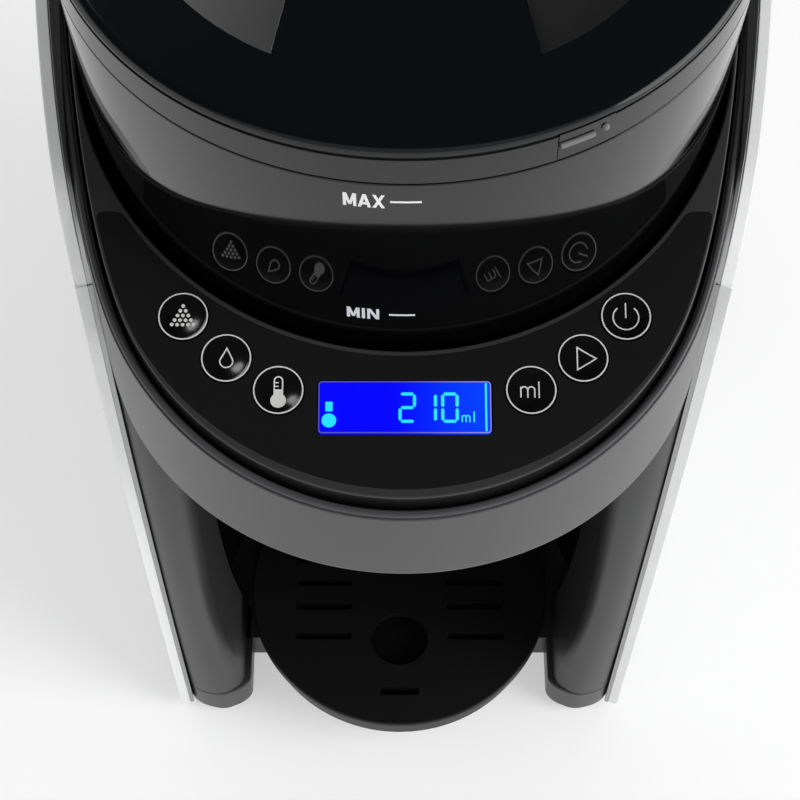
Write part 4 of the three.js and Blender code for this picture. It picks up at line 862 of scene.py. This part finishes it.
def container():
    bottom, wall = 249.3, 2.2
    deck = bottom + wall
    corners = [[0, bottom], [cup_radius(bottom), bottom], [CONTAINER_RADIUS, RIM],
               [CONTAINER_RADIUS - wall, RIM], [cup_radius(deck) - wall, deck], [0, deck]]
    profile = rounded(corners, [0, 2.2, 0.5, 0.5, 1.5, 0])
    made = form("powder_container_cup", turned(profile, y=AXIS_Y, sides=256))
    return carved(made, drill(OUTLET_Y, 8, 200, 262), drill(AXIS_Y, 9, 200, 262))


dressed(container(), smoke, "container", ["powder_container"])


def collar(y, inner, outer, bottom, top, sides):
    return turned(upright_section(inner, outer, bottom, top), y=y, sides=sides)


def well():
    """The well's floor with its two holes, its wall, and the two collars under the floor."""
    wall, deck, thick = 1.4, 249.0, 3.0
    bottom = deck - thick
    floor = form("container_well_floor", collar(AXIS_Y, 0, WELL_RADIUS + 0.3, bottom, deck, 200))
    carved(floor, drill(OUTLET_Y, 8, 200, 262), drill(AXIS_Y, 8.5, 200, 262))
    outline, profile = circle(0, AXIS_Y, WELL_RADIUS + wall, 200), wall_profile(0.0, -wall, 0.3, 0.3)
    rim = form("container_well_wall", walled(outline, profile, level(bottom), below_panel(6.3)))
    below = form("container_well_skirt", collar(AXIS_Y, 74.8, 76.2, 228.3, bottom + 0.2, 160),
                 collar(OUTLET_Y, 8, 9.4, HEAD_BOTTOM + 0.3, bottom + 0.2, 64))
    return floor, rim, below


well_floor, *well_parts = well()
dressed(well_floor, gloss_black, nodes=["container_well"])
for part in well_parts:
    dressed(part, gloss_black)

# %% [markdown]
# The lid is a turned cover whose lip is a quarter of an ellipse, with two deep finger grips on
# either side of a bar. The grips are cut with a solid tool, and then every edge is rounded a
# little, because this rim catches the light. On the skirt sits the tab that locks the lid: a low
# black pad with a raised grey bar and a small knob. Pads like these are blocks carried round the
# axis, so that they follow the skirt.

# %% Lid
LID_TOP = HEIGHT
GRIP_FLOOR, GRIP_WALL = 325.0, 1.8


def grip_outline(grow, steps=40):
    """Half of a disc of radius 59.5 beyond a straight bar edge that splays by 10 degrees."""
    radius, edge, splay = 59.5 + grow, 18.0 - grow, math.tan(math.radians(10))
    a, b, c = 1 + splay ** 2, 2 * edge * splay, edge ** 2 - radius ** 2
    y = (-b + math.sqrt(b * b - 4 * a * c)) / (2 * a)
    turn = math.degrees(math.atan2(y, edge + y * splay))
    arc = circle(0, AXIS_Y, radius, steps, -turn, turn)
    return np.vstack([[[edge, AXIS_Y]], arc])


def lid():
    under, lip_wide, lip_high = 332.6, 2.6, 1.9
    corners = [[0, under], [72.5, under], [72.5, 310.5], [74.3, 310.5], [74.3, under], [76.2, under],
               [76.2, 324.8], [78.0, 324.8], [78.0, 332.1], [77.55, 332.3], [77.55, 332.75], [77.9, 332.95]]
    soft = [0, 0.6, 0.3, 0.3, 0.4, 0.4, 0.3, 0.3, 0.15, 0.05, 0.05, 0.15]
    a = sweep(90, 0, 13)
    lip = np.stack([75.3 + lip_wide * np.sin(a), LID_TOP - lip_high + lip_high * np.cos(a)], -1)
    profile = np.vstack([rounded([*corners, lip[0], [0, LID_TOP]], [*soft, 0, 0])[:-2], lip, [[0, LID_TOP]]])
    made = form("container_lid_cover", turned(profile, y=AXIS_Y, sides=288))
    for side in (1, -1):
        walls, hollow = ((grip_outline(grow) * [side, 1])[::side] for grow in (GRIP_WALL, 0))
        carved(made, punch(walls, GRIP_FLOOR - GRIP_WALL, 334.0), how="UNION")
        carved(made, punch(hollow, GRIP_FLOOR, 340.0))
    return softened(made, 0.45, 3, 40)


lid_cover = dressed(lid(), lid_black, "lid", ["container_lid"], angle=30)
spots, ways = faces_of(lid_cover)
two_toned(lid_cover, grip_black, (ways[:, 2] > 0.9) & (np.abs(spots[:, 2] - GRIP_FLOOR) < 0.6))


def skirt_patch(turn_low, turn_high, low, high, inner, outer, soft):
    """A low pad on the skirt: a rounded block carried round the axis between two turns from the front."""
    profile = rounded(upright_section(inner, outer, low, high), [0, soft, soft, 0])
    return turned(profile, y=AXIS_Y, sides=24, start=turn_low - 90, end=turn_high - 90)


SKIRT_INNER, TAB_FACE, KNOB_TURN, KNOB_RADIUS = 77.4, 78.2, 30.3, 0.9
half_turn = sweep(0, 180, 13)
ball = np.stack([KNOB_RADIUS * np.sin(half_turn), 330.0 - KNOB_RADIUS * np.cos(half_turn)], -1)
knob_turn = math.radians(KNOB_TURN - 90)
knob = turned(ball, TAB_FACE * math.cos(knob_turn), AXIS_Y + TAB_FACE * math.sin(knob_turn), sides=32)
lock = form("lid_lock_tab", skirt_patch(22.6, 32.0, 325.4, 332.9, SKIRT_INNER, TAB_FACE, 0.2))
dressed(lock, lid_black, "lid")
lock_marks = form("lid_lock_marks", skirt_patch(22.8, 28.4, 328.9, 330.3, SKIRT_INNER, 78.9, 0.6), knob)
dressed(lock_marks, lock_grey, "lid")

# %% [markdown]
# Two short level marks are printed on the container's wall. The letters are drawn flat as
# strokes, then wrapped round the cone: their width becomes an angle and their height a level.

# %% Level marks


def slanted(low, high, bottom=0.0, top=1.0):
    """A bar of a letter whose lower edge spans low and whose upper edge spans high."""
    return np.array([[low[0], bottom], [low[1], bottom], [high[1], top], [high[0], top]])


STEM, FAR_STEM = slanted((0, 0.24), (0, 0.24)), slanted((0.76, 1), (0.76, 1))
FALLING = slanted((0.72, 1), (0, 0.28))
letter_bars = {
    "M": [STEM, FAR_STEM, slanted((0.4, 0.6), (0, 0.27), 0.12), slanted((0.4, 0.6), (0.73, 1), 0.12)],
    "A": [slanted((0, 0.25), (0.38, 0.62)), slanted((0.75, 1), (0.38, 0.62)),
          slanted((0.2, 0.8), (0.28, 0.72), 0.2, 0.38)],
    "X": [slanted((0, 0.28), (0.72, 1)), FALLING],
    "I": [STEM],
    "N": [STEM, FAR_STEM, FALLING],
}
letter_widths = {"M": 1.0, "A": 1.0, "X": 0.92, "I": 1.0, "N": 0.92}


def level_mark(name, word, x, z, tall, wide, space, dash):
    """Bars of a word and a dash after it, wrapped round the cup at height z."""
    parts, pen = [], x
    for letter in word:
        width = letter_widths[letter] * wide
        for bar_points in letter_bars[letter]:
            points = bar_points * [width, tall] + [pen, -tall / 2]
            parts.append(filled(points, flat, high=0.05, rings=2))
        pen += (0.24 * width if letter == "I" else width) + space
    parts.append(stroke([[dash[0], 0], [dash[1], 0]], 0.62, surface=flat, step=0.5))
    wrapped = []
    for points, faces in parts:
        u, v, lift = points.T
        radius = cup_radius(z + v) + lift
        angle = u / CONTAINER_RADIUS
        place = np.stack([radius * np.sin(angle), AXIS_Y - radius * np.cos(angle), z + v], -1)
        wrapped.append((place, faces))
    return dressed(form(name, *wrapped), print_white, "container")


level_mark("upper_level_mark", "MAX", -12.9, 318.75, 4.4, 2.75, 0.25, (-3.3, 3.1))
level_mark("lower_level_mark", "MIN", -13.2, 275.9, 4.1, 2.95, 0.5, (-3.6, 2.3))

# %% [markdown]
# Below the head, two legs stand on either side of the bay. Each leg is a stack of outlines: a
# straight inner side that flares towards the foot, a round tip, and an outer side that follows
# the machine. The silver side panels lie against them over a thin metal frame, which shows as a
# dark strip beside the silver and as a narrow lip over the trim ring. Each is a wall along the
# outline whose top is a function of y. All of them narrow a little towards the floor, as mouldings
# do: it is easier to make them upright and to draw their points in afterwards, with one function
# for all, than to lean each outline by hand. The bay's back is a half-round liner.

# %% Legs, side panels and base
TIP_Y, TIP_RADIUS, LEG_BACK, LEG_INNER, LEG_FLARE = -76.0, 7.0, -30.0, 59.0, 7.0
BAY_Y, BAY_RADIUS = -49.0, 60.0
BASE_BOTTOM, BASE_TOP, LEG_TOP = 4.0, 16.0, HEAD_BOTTOM - GAP
DRAFT = 3.8
HOOK_X = 14.0
SIDES = ((1, "right"), (-1, "left"))
body_shell = body_plan + normals(body_plan)


def reach(y):
    """How far right the shell reaches at y."""
    right = right_side(body_shell, 1)
    return np.interp(y, right[:, 1], right[:, 0])


def leg_ring(inner, out=0.0):
    """Outline of the leg in plan, drawn in by a small distance."""
    tip_outer = float(reach(TIP_Y))
    middle, half = (inner + tip_outer) / 2, (tip_outer - inner) / 2
    a = sweep(180, 360, 41)
    tip = np.stack([middle + half * np.cos(a), TIP_Y + TIP_RADIUS * np.sin(a)], -1)
    up = np.linspace(TIP_Y, LEG_BACK, 24)[1:]
    outside = np.stack([reach(up), up], -1)
    down = up[::-1]
    lean = np.sqrt(np.clip((BAY_RADIUS + 2.3) ** 2 - (down - BAY_Y) ** 2, 0, None))
    inside = np.stack([np.where(down > BAY_Y, np.maximum(inner, lean), inner), down], -1)
    ring = np.vstack([tip, outside, inside])
    return ring + out * normals(ring)


def drawn_in(piece):
    """Narrows a piece towards the feet, as the real sides do: a point moves inwards by draft s^1.5,
    where s runs from 0 at the head to 1 near the floor. That fades out towards the machine's middle
    and towards its back."""
    points = np.empty(len(piece.data.vertices) * 3)
    piece.data.vertices.foreach_get("co", points)
    points = points.reshape(-1, 3) / MM
    down = np.interp(points[:, 2], [BASE_BOTTOM, HEAD_BOTTOM], [1, 0]) ** 1.5
    out = np.interp(np.abs(points[:, 0]), [56, 66], [0, 1])
    forward = np.interp(points[:, 1], [-20, 60], [1, 0])
    points[:, 0] -= np.sign(points[:, 0]) * DRAFT * down * out * forward
    piece.data.vertices.foreach_set("co", (points * MM).ravel())
    piece.data.update()
    return piece


def leg(name, side):
    """Rings from the foot up: drawn in at both ends, flared over the first 70 mm, straight above."""
    low, soft, flare_high = BASE_TOP + GAP, 0.6, 70.0
    rings = [(leg_ring(LEG_INNER - LEG_FLARE, -soft), low)]
    for s in np.linspace(0, 1, 17):
        rings.append((leg_ring(LEG_INNER - LEG_FLARE * (1 - s) ** 2), low + soft + (flare_high - soft) * s))
    rings += [(leg_ring(LEG_INNER), z) for z in np.linspace(90, LEG_TOP - soft, 12)]
    rings.append((leg_ring(LEG_INNER, -soft), LEG_TOP))
    grid = np.stack([raised(ring, z) for ring, z in rings])
    grid[..., 0] *= side
    return drawn_in(form(name, patch(grid, wrap_rows=False)))


for side, name in SIDES:
    dressed(leg(f"{name}_leg_column", side), leg_grey, nodes=[f"{name}_leg"])

CORNER, SIDE_FRONT, SIDE_BACK = 20.0, -80.0, 60.0


def side_run():
    """The right side's outline from the leg's tip back to the tank, with points close together in
    front, where the top edge turns down."""
    along = right_side(body_plan)
    along = along[np.argsort(along[:, 1])]
    turn = SIDE_FRONT + CORNER * (1 - np.cos(sweep(0, 90, 19)))
    y = np.concatenate([turn, np.linspace(turn[-1], SIDE_BACK, 50)[1:]])
    run = np.stack([np.interp(y, along[:, 1], along[:, 0]), y], -1)
    ahead = unit(np.gradient(run, axis=0))
    return run, np.stack([ahead[:, 1], -ahead[:, 0]], -1)


def side_top(y):
    """The panel's height less 1.6, turned down in front by a quarter circle: c - sqrt(c^2 - (c - t)^2)
    at t behind the front edge."""
    short = np.clip(CORNER - (np.asarray(y) - SIDE_FRONT), 0, CORNER)
    return panel(y) - 1.6 - (CORNER - np.sqrt(CORNER ** 2 - short ** 2))


def tall_profile(outer, inner):
    """A wall's profile with ten rows between its bottom and its top, so that it can bend."""
    profile = wall_profile(outer, inner, 0.35, 0.35)
    quarter = len(profile) // 4
    shares = np.linspace(0, 1, 12)[1:-1]
    up, down = (np.stack([0 * share + edge, share, 0 * share], -1)
                for edge, share in ((outer, shares), (inner, shares[::-1])))
    return np.vstack([profile[:quarter], up, profile[quarter:3 * quarter], down, profile[3 * quarter:]])


def side_wall(name, side, outer, inner):
    """A wall along one side between two distances outside the outline, softened and drawn in."""
    made = form(name, walled(run, tall_profile(outer, inner), level(BASE_BOTTOM + GAP), side_top, wrap=False,
                             out=run_out))
    made.data.transform(Matrix.Scale(side, 4, (1, 0, 0)))
    if side < 0:
        made.data.flip_normals()
    return softened(drawn_in(made), 0.3, 2, 60)


run, run_out = side_run()
for side, name in SIDES:
    shell = dressed(side_wall(f"{name}_side_shell", side, 5.3, 2.35), silver, nodes=[f"{name}_side_panel"])
    # The panel's narrow edges, the faces that don't look sideways, get the painted highlight of pale silver.
    two_toned(shell, pale_silver_highlight, np.abs(faces_of(shell)[1][:, 0]) < 0.65)
    dressed(side_wall(f"{name}_side_frame", side, 2.3, 1.05), dark_metal)


def frame_lip(side):
    """The frame's thin inner lip over the trim ring: a strip whose inner edge goes further in towards
    the back, from 1 outside the outline to 1.3 inside it."""
    start, outer, top, bottom = -58, 1.2, 1.6, 2.45
    line, out = run[run[:, 1] > start], run_out[run[:, 1] > start]
    inner = np.interp(line[:, 1], [start, -30, 0], [1.0, -0.2, -1.3])[:, None]
    grid = []
    rows = (outer, bottom), (outer, top), (inner + 0.15, top), (inner, top + 0.15), (inner, bottom)
    for offset, drop in rows:
        place = line + offset * out
        grid.append(raised(place, panel(place[:, 1]) - drop) * [side, 1, 1])
    return patch(np.stack(grid), wrap_columns=False)


for side, name in SIDES:
    dressed(form(f"{name}_side_lip", frame_lip(side)), dark_metal)


def base():
    """The shell's outline behind the bay, joined to a foot under each leg."""
    made = form("base_shell", slab(body_shell, BASE_BOTTOM, BASE_TOP, 0.8))
    carved(made, block(-200, 200, -200, -62, 0, 20))
    for side, _ in SIDES:
        foot = leg_ring(50.0)[::side] * [side, 1]
        carved(made, punch(foot, BASE_BOTTOM, BASE_TOP, 0.8), how="UNION")
    return made


dressed(drawn_in(base()), satin_grey, nodes=["base_plate"])


def liner():
    """Half of a tube, with two slots for the hooks of the bottle stand."""
    profile = rounded(upright_section(BAY_RADIUS, BAY_RADIUS + 2, BASE_TOP + GAP, LEG_TOP), 0.3, 3)
    made = form("bay_liner_shell", turned(profile, y=BAY_Y, sides=120, start=0.3, end=179.7))
    slots = [block(x - 3.8, x + 3.8, -20, 30, 41.2, 100.8) for x in (HOOK_X, -HOOK_X)]
    return softened(carved(made, *slots), 0.3, 2, 50)


dressed(liner(), gloss_black, nodes=["bay_liner"])

for end, x, y, radius in (("front", 61.5, -74.7, 5.6), ("rear", 57.5, 117.0, 7.5)):
    for side, name in reversed(SIDES):
        foot = rounded(upright_section(0, radius, 0, BASE_BOTTOM - GAP), [0, 0.5, 0.3, 0], 3)
        pad = form(f"{end}_{name}_foot_pad", turned(foot, x=side * x, y=y, sides=64))
        dressed(pad, rubber, nodes=[f"{end}_{name}_foot"])

# %% [markdown]
# The bottle stands on a round slotted grate over a drip cup. The cup's bracket hooks into the
# liner, so that the stand can be set higher for a short bottle.

# %% Stand and grate
GRATE_BOTTOM, GRATE_TOP = 25.0, 28.0
CUP_BOTTOM = BASE_TOP + 0.6
SLOT_HALF = 1.3


def grate():
    """A plate with a round hole under the outlet, five slots on each side of it and one in front."""
    profile = rounded(upright_section(0, 50, GRATE_BOTTOM, GRATE_TOP), [0, 0.5, 1.0, 0])
    made = form("stand_grate_plate", turned(profile, y=BAY_Y, sides=200))
    slots = [(x, y, 9.5) for y in (20, 11, 2, -7, -18) for x in (25.5, -25.5)] + [(0, -38, 6.5)]
    tools = [punch(rectangle(x - half, x + half, BAY_Y + y - SLOT_HALF, BAY_Y + y + SLOT_HALF, 1.0), 20, 32)
             for x, y, half in slots]
    return softened(carved(made, *tools, drill(OUTLET_Y, 9.5, 20, 32, sides=72)), 0.35, 3, 40)


dressed(grate(), matt_black, "grate", ["stand_grate"])
rim = rounded(upright_section(42.7, 45.1, 22, GRATE_BOTTOM + 0.3), [0.3, 0.3, 0, 0], 3)
dressed(form("stand_grate_rim", turned(rim, y=BAY_Y, sides=160)), matt_black, "grate")

cup_top, cup_floor, wall = GRATE_BOTTOM - GAP, 19.0, 2.4
cup = rounded([[0, CUP_BOTTOM], [48, CUP_BOTTOM], [48, cup_top], [48 - wall, cup_top], [48 - wall, cup_floor],
               [0, cup_floor]], [0, 1.2, 0.4, 0.4, 0.8, 0], 4)
dressed(form("stand_cup", turned(cup, y=BAY_Y, sides=200)), matt_black, "stand", ["bottle_stand"])


def bracket():
    """The cup's upright back: a piece of a ring, 48 wide, with a T-shaped hook for each slot."""
    half = 24
    section = upright_section(46, 59.4, CUP_BOTTOM, 58)
    made = form("stand_bracket", turned(section, y=BAY_Y, sides=80, start=50, end=130))
    carved(made, block(half, 80, -60, 40, 0, 80), block(-80, -half, -60, 40, 0, 80),
           block(-80, 80, -60, 1.3, GRATE_BOTTOM - GAP, 80))
    hooks = [block(x - wide, x + wide, front, 16.8, 42, 50)
             for x in (-HOOK_X, HOOK_X) for wide, front in ((3, 6.3), (6, 13.8))]
    return softened(carved(made, *hooks, how="UNION"), 0.5, 2, 40)


dressed(bracket(), matt_black, "stand")

# %% [markdown]
# Under the head a drawer holds the mixing funnel. It slides out to the front for washing.

# %% Funnel and drawer
SPOUT_LOW, CONE_LOW, FLANGE_LOW, FLANGE_TOP = 183.2, 193.2, 219.2, 221.2
funnel = rounded([[5, SPOUT_LOW], [7, SPOUT_LOW], [7, CONE_LOW], [29, FLANGE_LOW], [33, FLANGE_LOW],
                  [33, FLANGE_TOP], [27, FLANGE_TOP], [5, CONE_LOW]], [0.3, 0.6, 3, 2, 0.5, 0.5, 1.0, 3])
cone = form("mixing_funnel_cone", turned(funnel, y=OUTLET_Y, sides=128))
dressed(cone, smoke, "drawer", ["mixing_funnel"])


def drawer():
    """A tray hollowed above and below its deck, which has a hole for the funnel; a wing on each side."""
    half, front, back, corner, wall = 36, -110, -30, 14, 2.4
    outer = rectangle(-half, half, front, back, corner, 10)
    inner = rectangle(wall - half, half - wall, front + wall, back - wall, corner - wall, 10)
    made = form("funnel_drawer_tray", slab(outer, 183.8, 221.8, 0.8))
    carved(made, punch(inner, 218.9, 240))
    carved(made, punch(inner, 186.2, 216.5), drill(OUTLET_Y, 29.3, 200, 240, sides=96),
           drill(OUTLET_Y, 9.5, 150, 200))
    wings = [block(x0, x1, -96, -44, 219.5, 221.5) for x0, x1 in ((34.8, 41), (-41, -34.8))]
    return softened(carved(made, *wings, how="UNION"), 0.3, 2, 50)


dressed(drawer(), satin_grey, "drawer", ["funnel_drawer"])

# %% [markdown]
# Behind the head stands the water tank on a shelf, with a hinged lid, and under it a cover closes
# the column. The photograph doesn't show this side, so it is kept plain.

# %% Tank, tank lid, cradle and rear cover


def behind(outline, y):
    """The part of an outline behind y, closed by a straight line."""
    keep = outline[outline[:, 1] > y]
    keep = keep[np.argsort(np.arctan2(keep[:, 1] - y, keep[:, 0]))]
    return np.vstack([[[keep[0, 0], y]], keep, [[keep[-1, 0], y]]])


def body_offset(distance):
    return body_plan + distance * normals(body_plan)


TANK_FRONT, TANK_BOTTOM, TANK_TOP, TANK_WALL = 64.0, 150.0, 312.0, 2.4
LID_LOW, LID_HIGH = TANK_TOP + GAP, 315.3
HINGE_Y, HINGE_Z = 140.1, 315.7
VALVE_Y = 100.0
EARS = ((-29, -20.3), (20.3, 29))
COLUMN_FRONT = 60.3


def knuckle(x0, x1, radius=3.4):
    """A round bar along x, made upright and laid down by changing the order of its coordinates."""
    points, faces = slab(circle(HINGE_Y, HINGE_Z, radius, 40), x0, x1, 0.3)
    return form("tool", (points[:, [2, 0, 1]], faces))


def tank():
    made = form("water_tank_shell", slab(behind(body_offset(3.5), TANK_FRONT), TANK_BOTTOM, TANK_TOP, 0))
    softened(made, 1.2, 3, 50)
    hollow = behind(body_offset(3.5 - TANK_WALL), TANK_FRONT + TANK_WALL)
    carved(made, punch(hollow, TANK_BOTTOM + TANK_WALL, 340))
    carved(made, drill(VALVE_Y, 8, 140, 160))
    socket = rounded([[8, 142], [4, 142], [4, 140], [10, 140], [10, 150.6], [8, 150.6]], 0.2)
    carved(made, form("tool", turned(socket, y=VALVE_Y, sides=64)), how="UNION")
    ears = [knuckle(*ear) for ear in EARS]
    webs = [block(*ear, HINGE_Y - 1.7, 142.3, 311.7, HINGE_Z) for ear in EARS]
    return carved(made, *ears, *webs, how="UNION")


dressed(tank(), smoke, "tank", ["water_tank"])


def tank_lid():
    """A plate cut out for the hinge, with a knuckle of its own, a lip inside the tank and a dimple."""
    notch, half = HINGE_Y - 4.0, 20
    made = form("tank_lid_cover", slab(behind(body_offset(3.5), TANK_FRONT), LID_LOW, LID_HIGH, 0))
    softened(made, 0.8, 3, 50)
    carved(made, block(-200, 200, HINGE_Y + 1, 200, 300, 330), block(-29.3, 29.3, notch, 200, 300, 330))
    carved(made, block(-half, half, notch - 2, HINGE_Y, LID_LOW, LID_HIGH), knuckle(-half, half), how="UNION")
    lip = punch(behind(body_offset(0.1), TANK_FRONT + 3.4), 308, LID_LOW + GAP)
    carved(lip, punch(behind(body_offset(-2.3), TANK_FRONT + 5.8), 300, LID_LOW),
           block(-200, 200, notch - 2.4, 200, 300, 330))
    carved(made, lip, how="UNION")
    dimple = rounded([[0, 314.5], [11, 314.5], [13, 318], [0, 318]], [0, 1, 0, 0])
    return carved(made, form("tool", turned(dimple, y=82, sides=64)))


dressed(tank_lid(), gloss_black, "tank_cover", ["tank_lid"])


def cradle():
    """A shelf with an upright wall in front of the tank, and a cup with a hole for the valve."""
    made = form("tank_cradle_shell", slab(behind(body_offset(5.0), COLUMN_FRONT), 145.7, 149.7, 0.6))
    edge = right_side(body_offset(5.0))
    half = float(np.interp(62.5, edge[:, 1], edge[:, 0]))
    upright = block(-half, half, 61.3, 63.7, 146, 285.1, 0.4)
    carved(made, upright, drill(VALVE_Y, 12.5, 131.7, 149.0, soft=0.6), how="UNION")
    return carved(made, drill(VALVE_Y, 10.5, 134.1, 160), drill(VALVE_Y, 1.6, 120, 160, sides=24))


dressed(cradle(), satin_grey, nodes=["tank_cradle"])


def rear_cover():
    """A hollow cover with bosses for the power board, eight grooves and a hole for the inlet."""
    made = form("rear_cover_shell", slab(behind(body_offset(5.0), COLUMN_FRONT), BASE_BOTTOM + GAP, 145.4, 0))
    softened(made, 1.0, 3, 50)
    carved(made, punch(behind(body_offset(2.4), 40.0), -10, 160))
    bosses = [block(x - 3, x + 3, 136.4, 142.7, z - 3, z + 3) for x in (-58, -18) for z in (60, 120)]
    carved(made, *bosses, how="UNION")
    grooves = [block(-40, 40, 144.4, 150, z, z + 2) for z in np.arange(70, 130, 8)]
    hole = block(-51.8, -24.2, 130, 160, 23.7, 44.3)
    return carved(made, hole, *grooves)


dressed(rear_cover(), satin_grey, nodes=["rear_cover"])


def inlet():
    made = form("power_inlet_socket", box(-51.5, -24.5, 120.7, 144.7, 24, 44))
    carved(made, block(-49.5, -26.5, 129.7, 150, 26, 42))
    pins = [block(x - 0.9, x + 0.9, 128, 141, 31, 37) for x in (-43, -33)]
    return softened(carved(made, *pins, how="UNION"), 0.3, 2, 50)


dressed(inlet(), gloss_black, nodes=["power_inlet"])

# %% [markdown]
# The studio is a white floor under an even white light. Reflections need more care than light:
# black gloss shows whatever it faces. So what a reflection sees is white near the floor and dark
# overhead, with a dim glow in front. Small soft lamps give the highlights on the buttons and on
# the grips. Each of them reaches only the pieces that it is meant for, because the same lamp would
# draw a hard bright line along the lid's lip. The floor is nearly half a plain white that only the
# camera and reflections see, so it looks white and still keeps the machine's soft shadow.

# %% Studio
LAMP_TARGET = Vector((0, -0.08, 0.25))


def studio_floor():
    size = 6.0
    corners = rectangle(-size, size, -size, size)
    mesh = bpy.data.meshes.new("studio_floor")
    mesh.from_pydata(raised(corners, 0).tolist(), [], [(0, 1, 2, 3)])
    white = Finish("studio_white", (0.96, 0.96, 0.96), 0.9)
    mesh.materials.append(white.material)
    seen = white.node("ShaderNodeLightPath", output="Is Camera Ray")
    for ray in ("Is Glossy Ray", "Is Transmission Ray"):
        seen = seen + white.node("ShaderNodeLightPath", output=ray)
    share = seen.between(0.0, 1.0) * 0.47
    painted = Number(white, white.shader.outputs[0])
    plain = white.node("ShaderNodeEmission", None, {"Color": (1, 1, 1), "Strength": 1.0})
    both = white.node("ShaderNodeMixShader", None, {0: share, 1: painted, 2: plain})
    white.feed(white.tree.nodes["Material Output"].inputs["Surface"], both)
    placed("studio_floor", mesh)


def studio_world():
    """Light of one strength from everywhere. Only a reflection sees the room: white low down, dark from
    about 40 degrees up, and a dim glow in front. The camera sees plain white."""
    world = bpy.data.worlds.new("studio")
    bpy.context.scene.world = world
    world.use_nodes = True
    world.node_tree.nodes.clear()
    room = Paint(world.node_tree)
    direction = room.node("ShaderNodeTexCoord", output="Generated")
    up, front = (room.node("ShaderNodeSeparateXYZ", None, {0: direction}, output=axis) for axis in "ZY")
    overhead = up.between(0.25, 0.62, 1.0, 0.04)
    mirrored = overhead.math("MAXIMUM", front.between(-0.2, -0.55, 0.0, 0.4))
    ambient, reflected, plain = (
        room.node("ShaderNodeBackground", None, {"Color": (1, 1, 1), "Strength": strength})
        for strength in (0.64, mirrored, 1.0))
    seen = ambient
    for ray, look in (("Glossy", reflected), ("Camera", plain)):
        hit = room.node("ShaderNodeLightPath", output=f"Is {ray} Ray")
        seen = room.node("ShaderNodeMixShader", None, {0: hit, 1: seen, 2: look})
    room.feed(room.tree.nodes.new("ShaderNodeOutputWorld").inputs["Surface"], seen)


def lamp(name, towards, distance, size, power, only_gloss=False, deep=None, only_for=()):
    """A round or oval soft lamp in a direction from the machine's middle, shining at it. One that is
    only for gloss shows in reflections and lights nothing else, and one that is only for some pieces
    reaches no other."""
    data = bpy.data.lights.new(name, "AREA")
    data.shape, data.size, data.size_y, data.energy = "ELLIPSE", size, deep or size, power
    made = placed(name, data)
    away = Vector(towards).normalized() * distance
    made.location = LAMP_TARGET + away
    made.rotation_mode = "QUATERNION"
    made.rotation_quaternion = away.to_track_quat("Z", "Y")
    made.visible_camera = False
    made.visible_diffuse = not only_gloss
    if only_for:
        group = bpy.data.collections.new(f"{name}_reaches")
        for piece_name in only_for:
            group.objects.link(bpy.data.objects[piece_name])
        made.light_linking.receiver_collection = group
    return made


studio_floor()
studio_world()
lamp("key_lamp", (0.86, -0.35, 0.58), 5.0, 3.2, 200).visible_glossy = False
lamp("side_lamp", (0.9, -0.1, 0.22), 2.5, 2.2, 24, only_gloss=True)
lamp("button_lamp", (-0.29, 0.27, 0.91), 1.6, 0.4, 1.5, only_gloss=True, deep=0.24,
     only_for=[f"{name}_button_cap" for name in places])
lamp("grip_lamp", (-0.34, 0.67, 0.66), 1.6, 0.4, 9, only_gloss=True, only_for=["container_lid_cover"])

# %% [markdown]
# The photograph was taken from high in front with a long lens. The camera's place, its 58 degree
# tilt and its field come from lining up the panel, the display and the floor with the picture.

# %% Camera
SHIFT_PIXELS, PICTURE_PIXELS = 11, 800
camera_data = bpy.data.cameras.new("camera")
camera_data.lens = 90.0
camera_data.sensor_width = 36.0
camera_data.shift_x = SHIFT_PIXELS / PICTURE_PIXELS
camera_data.clip_start, camera_data.clip_end = 0.01, 50.0
camera = placed("camera", camera_data)
camera.location = (-0.0035, -0.355, 0.638)
camera.rotation_euler = (math.radians(32), 0, 0)
bpy.context.scene.camera = camera
bpy.context.scene.view_settings.view_transform = "Standard"
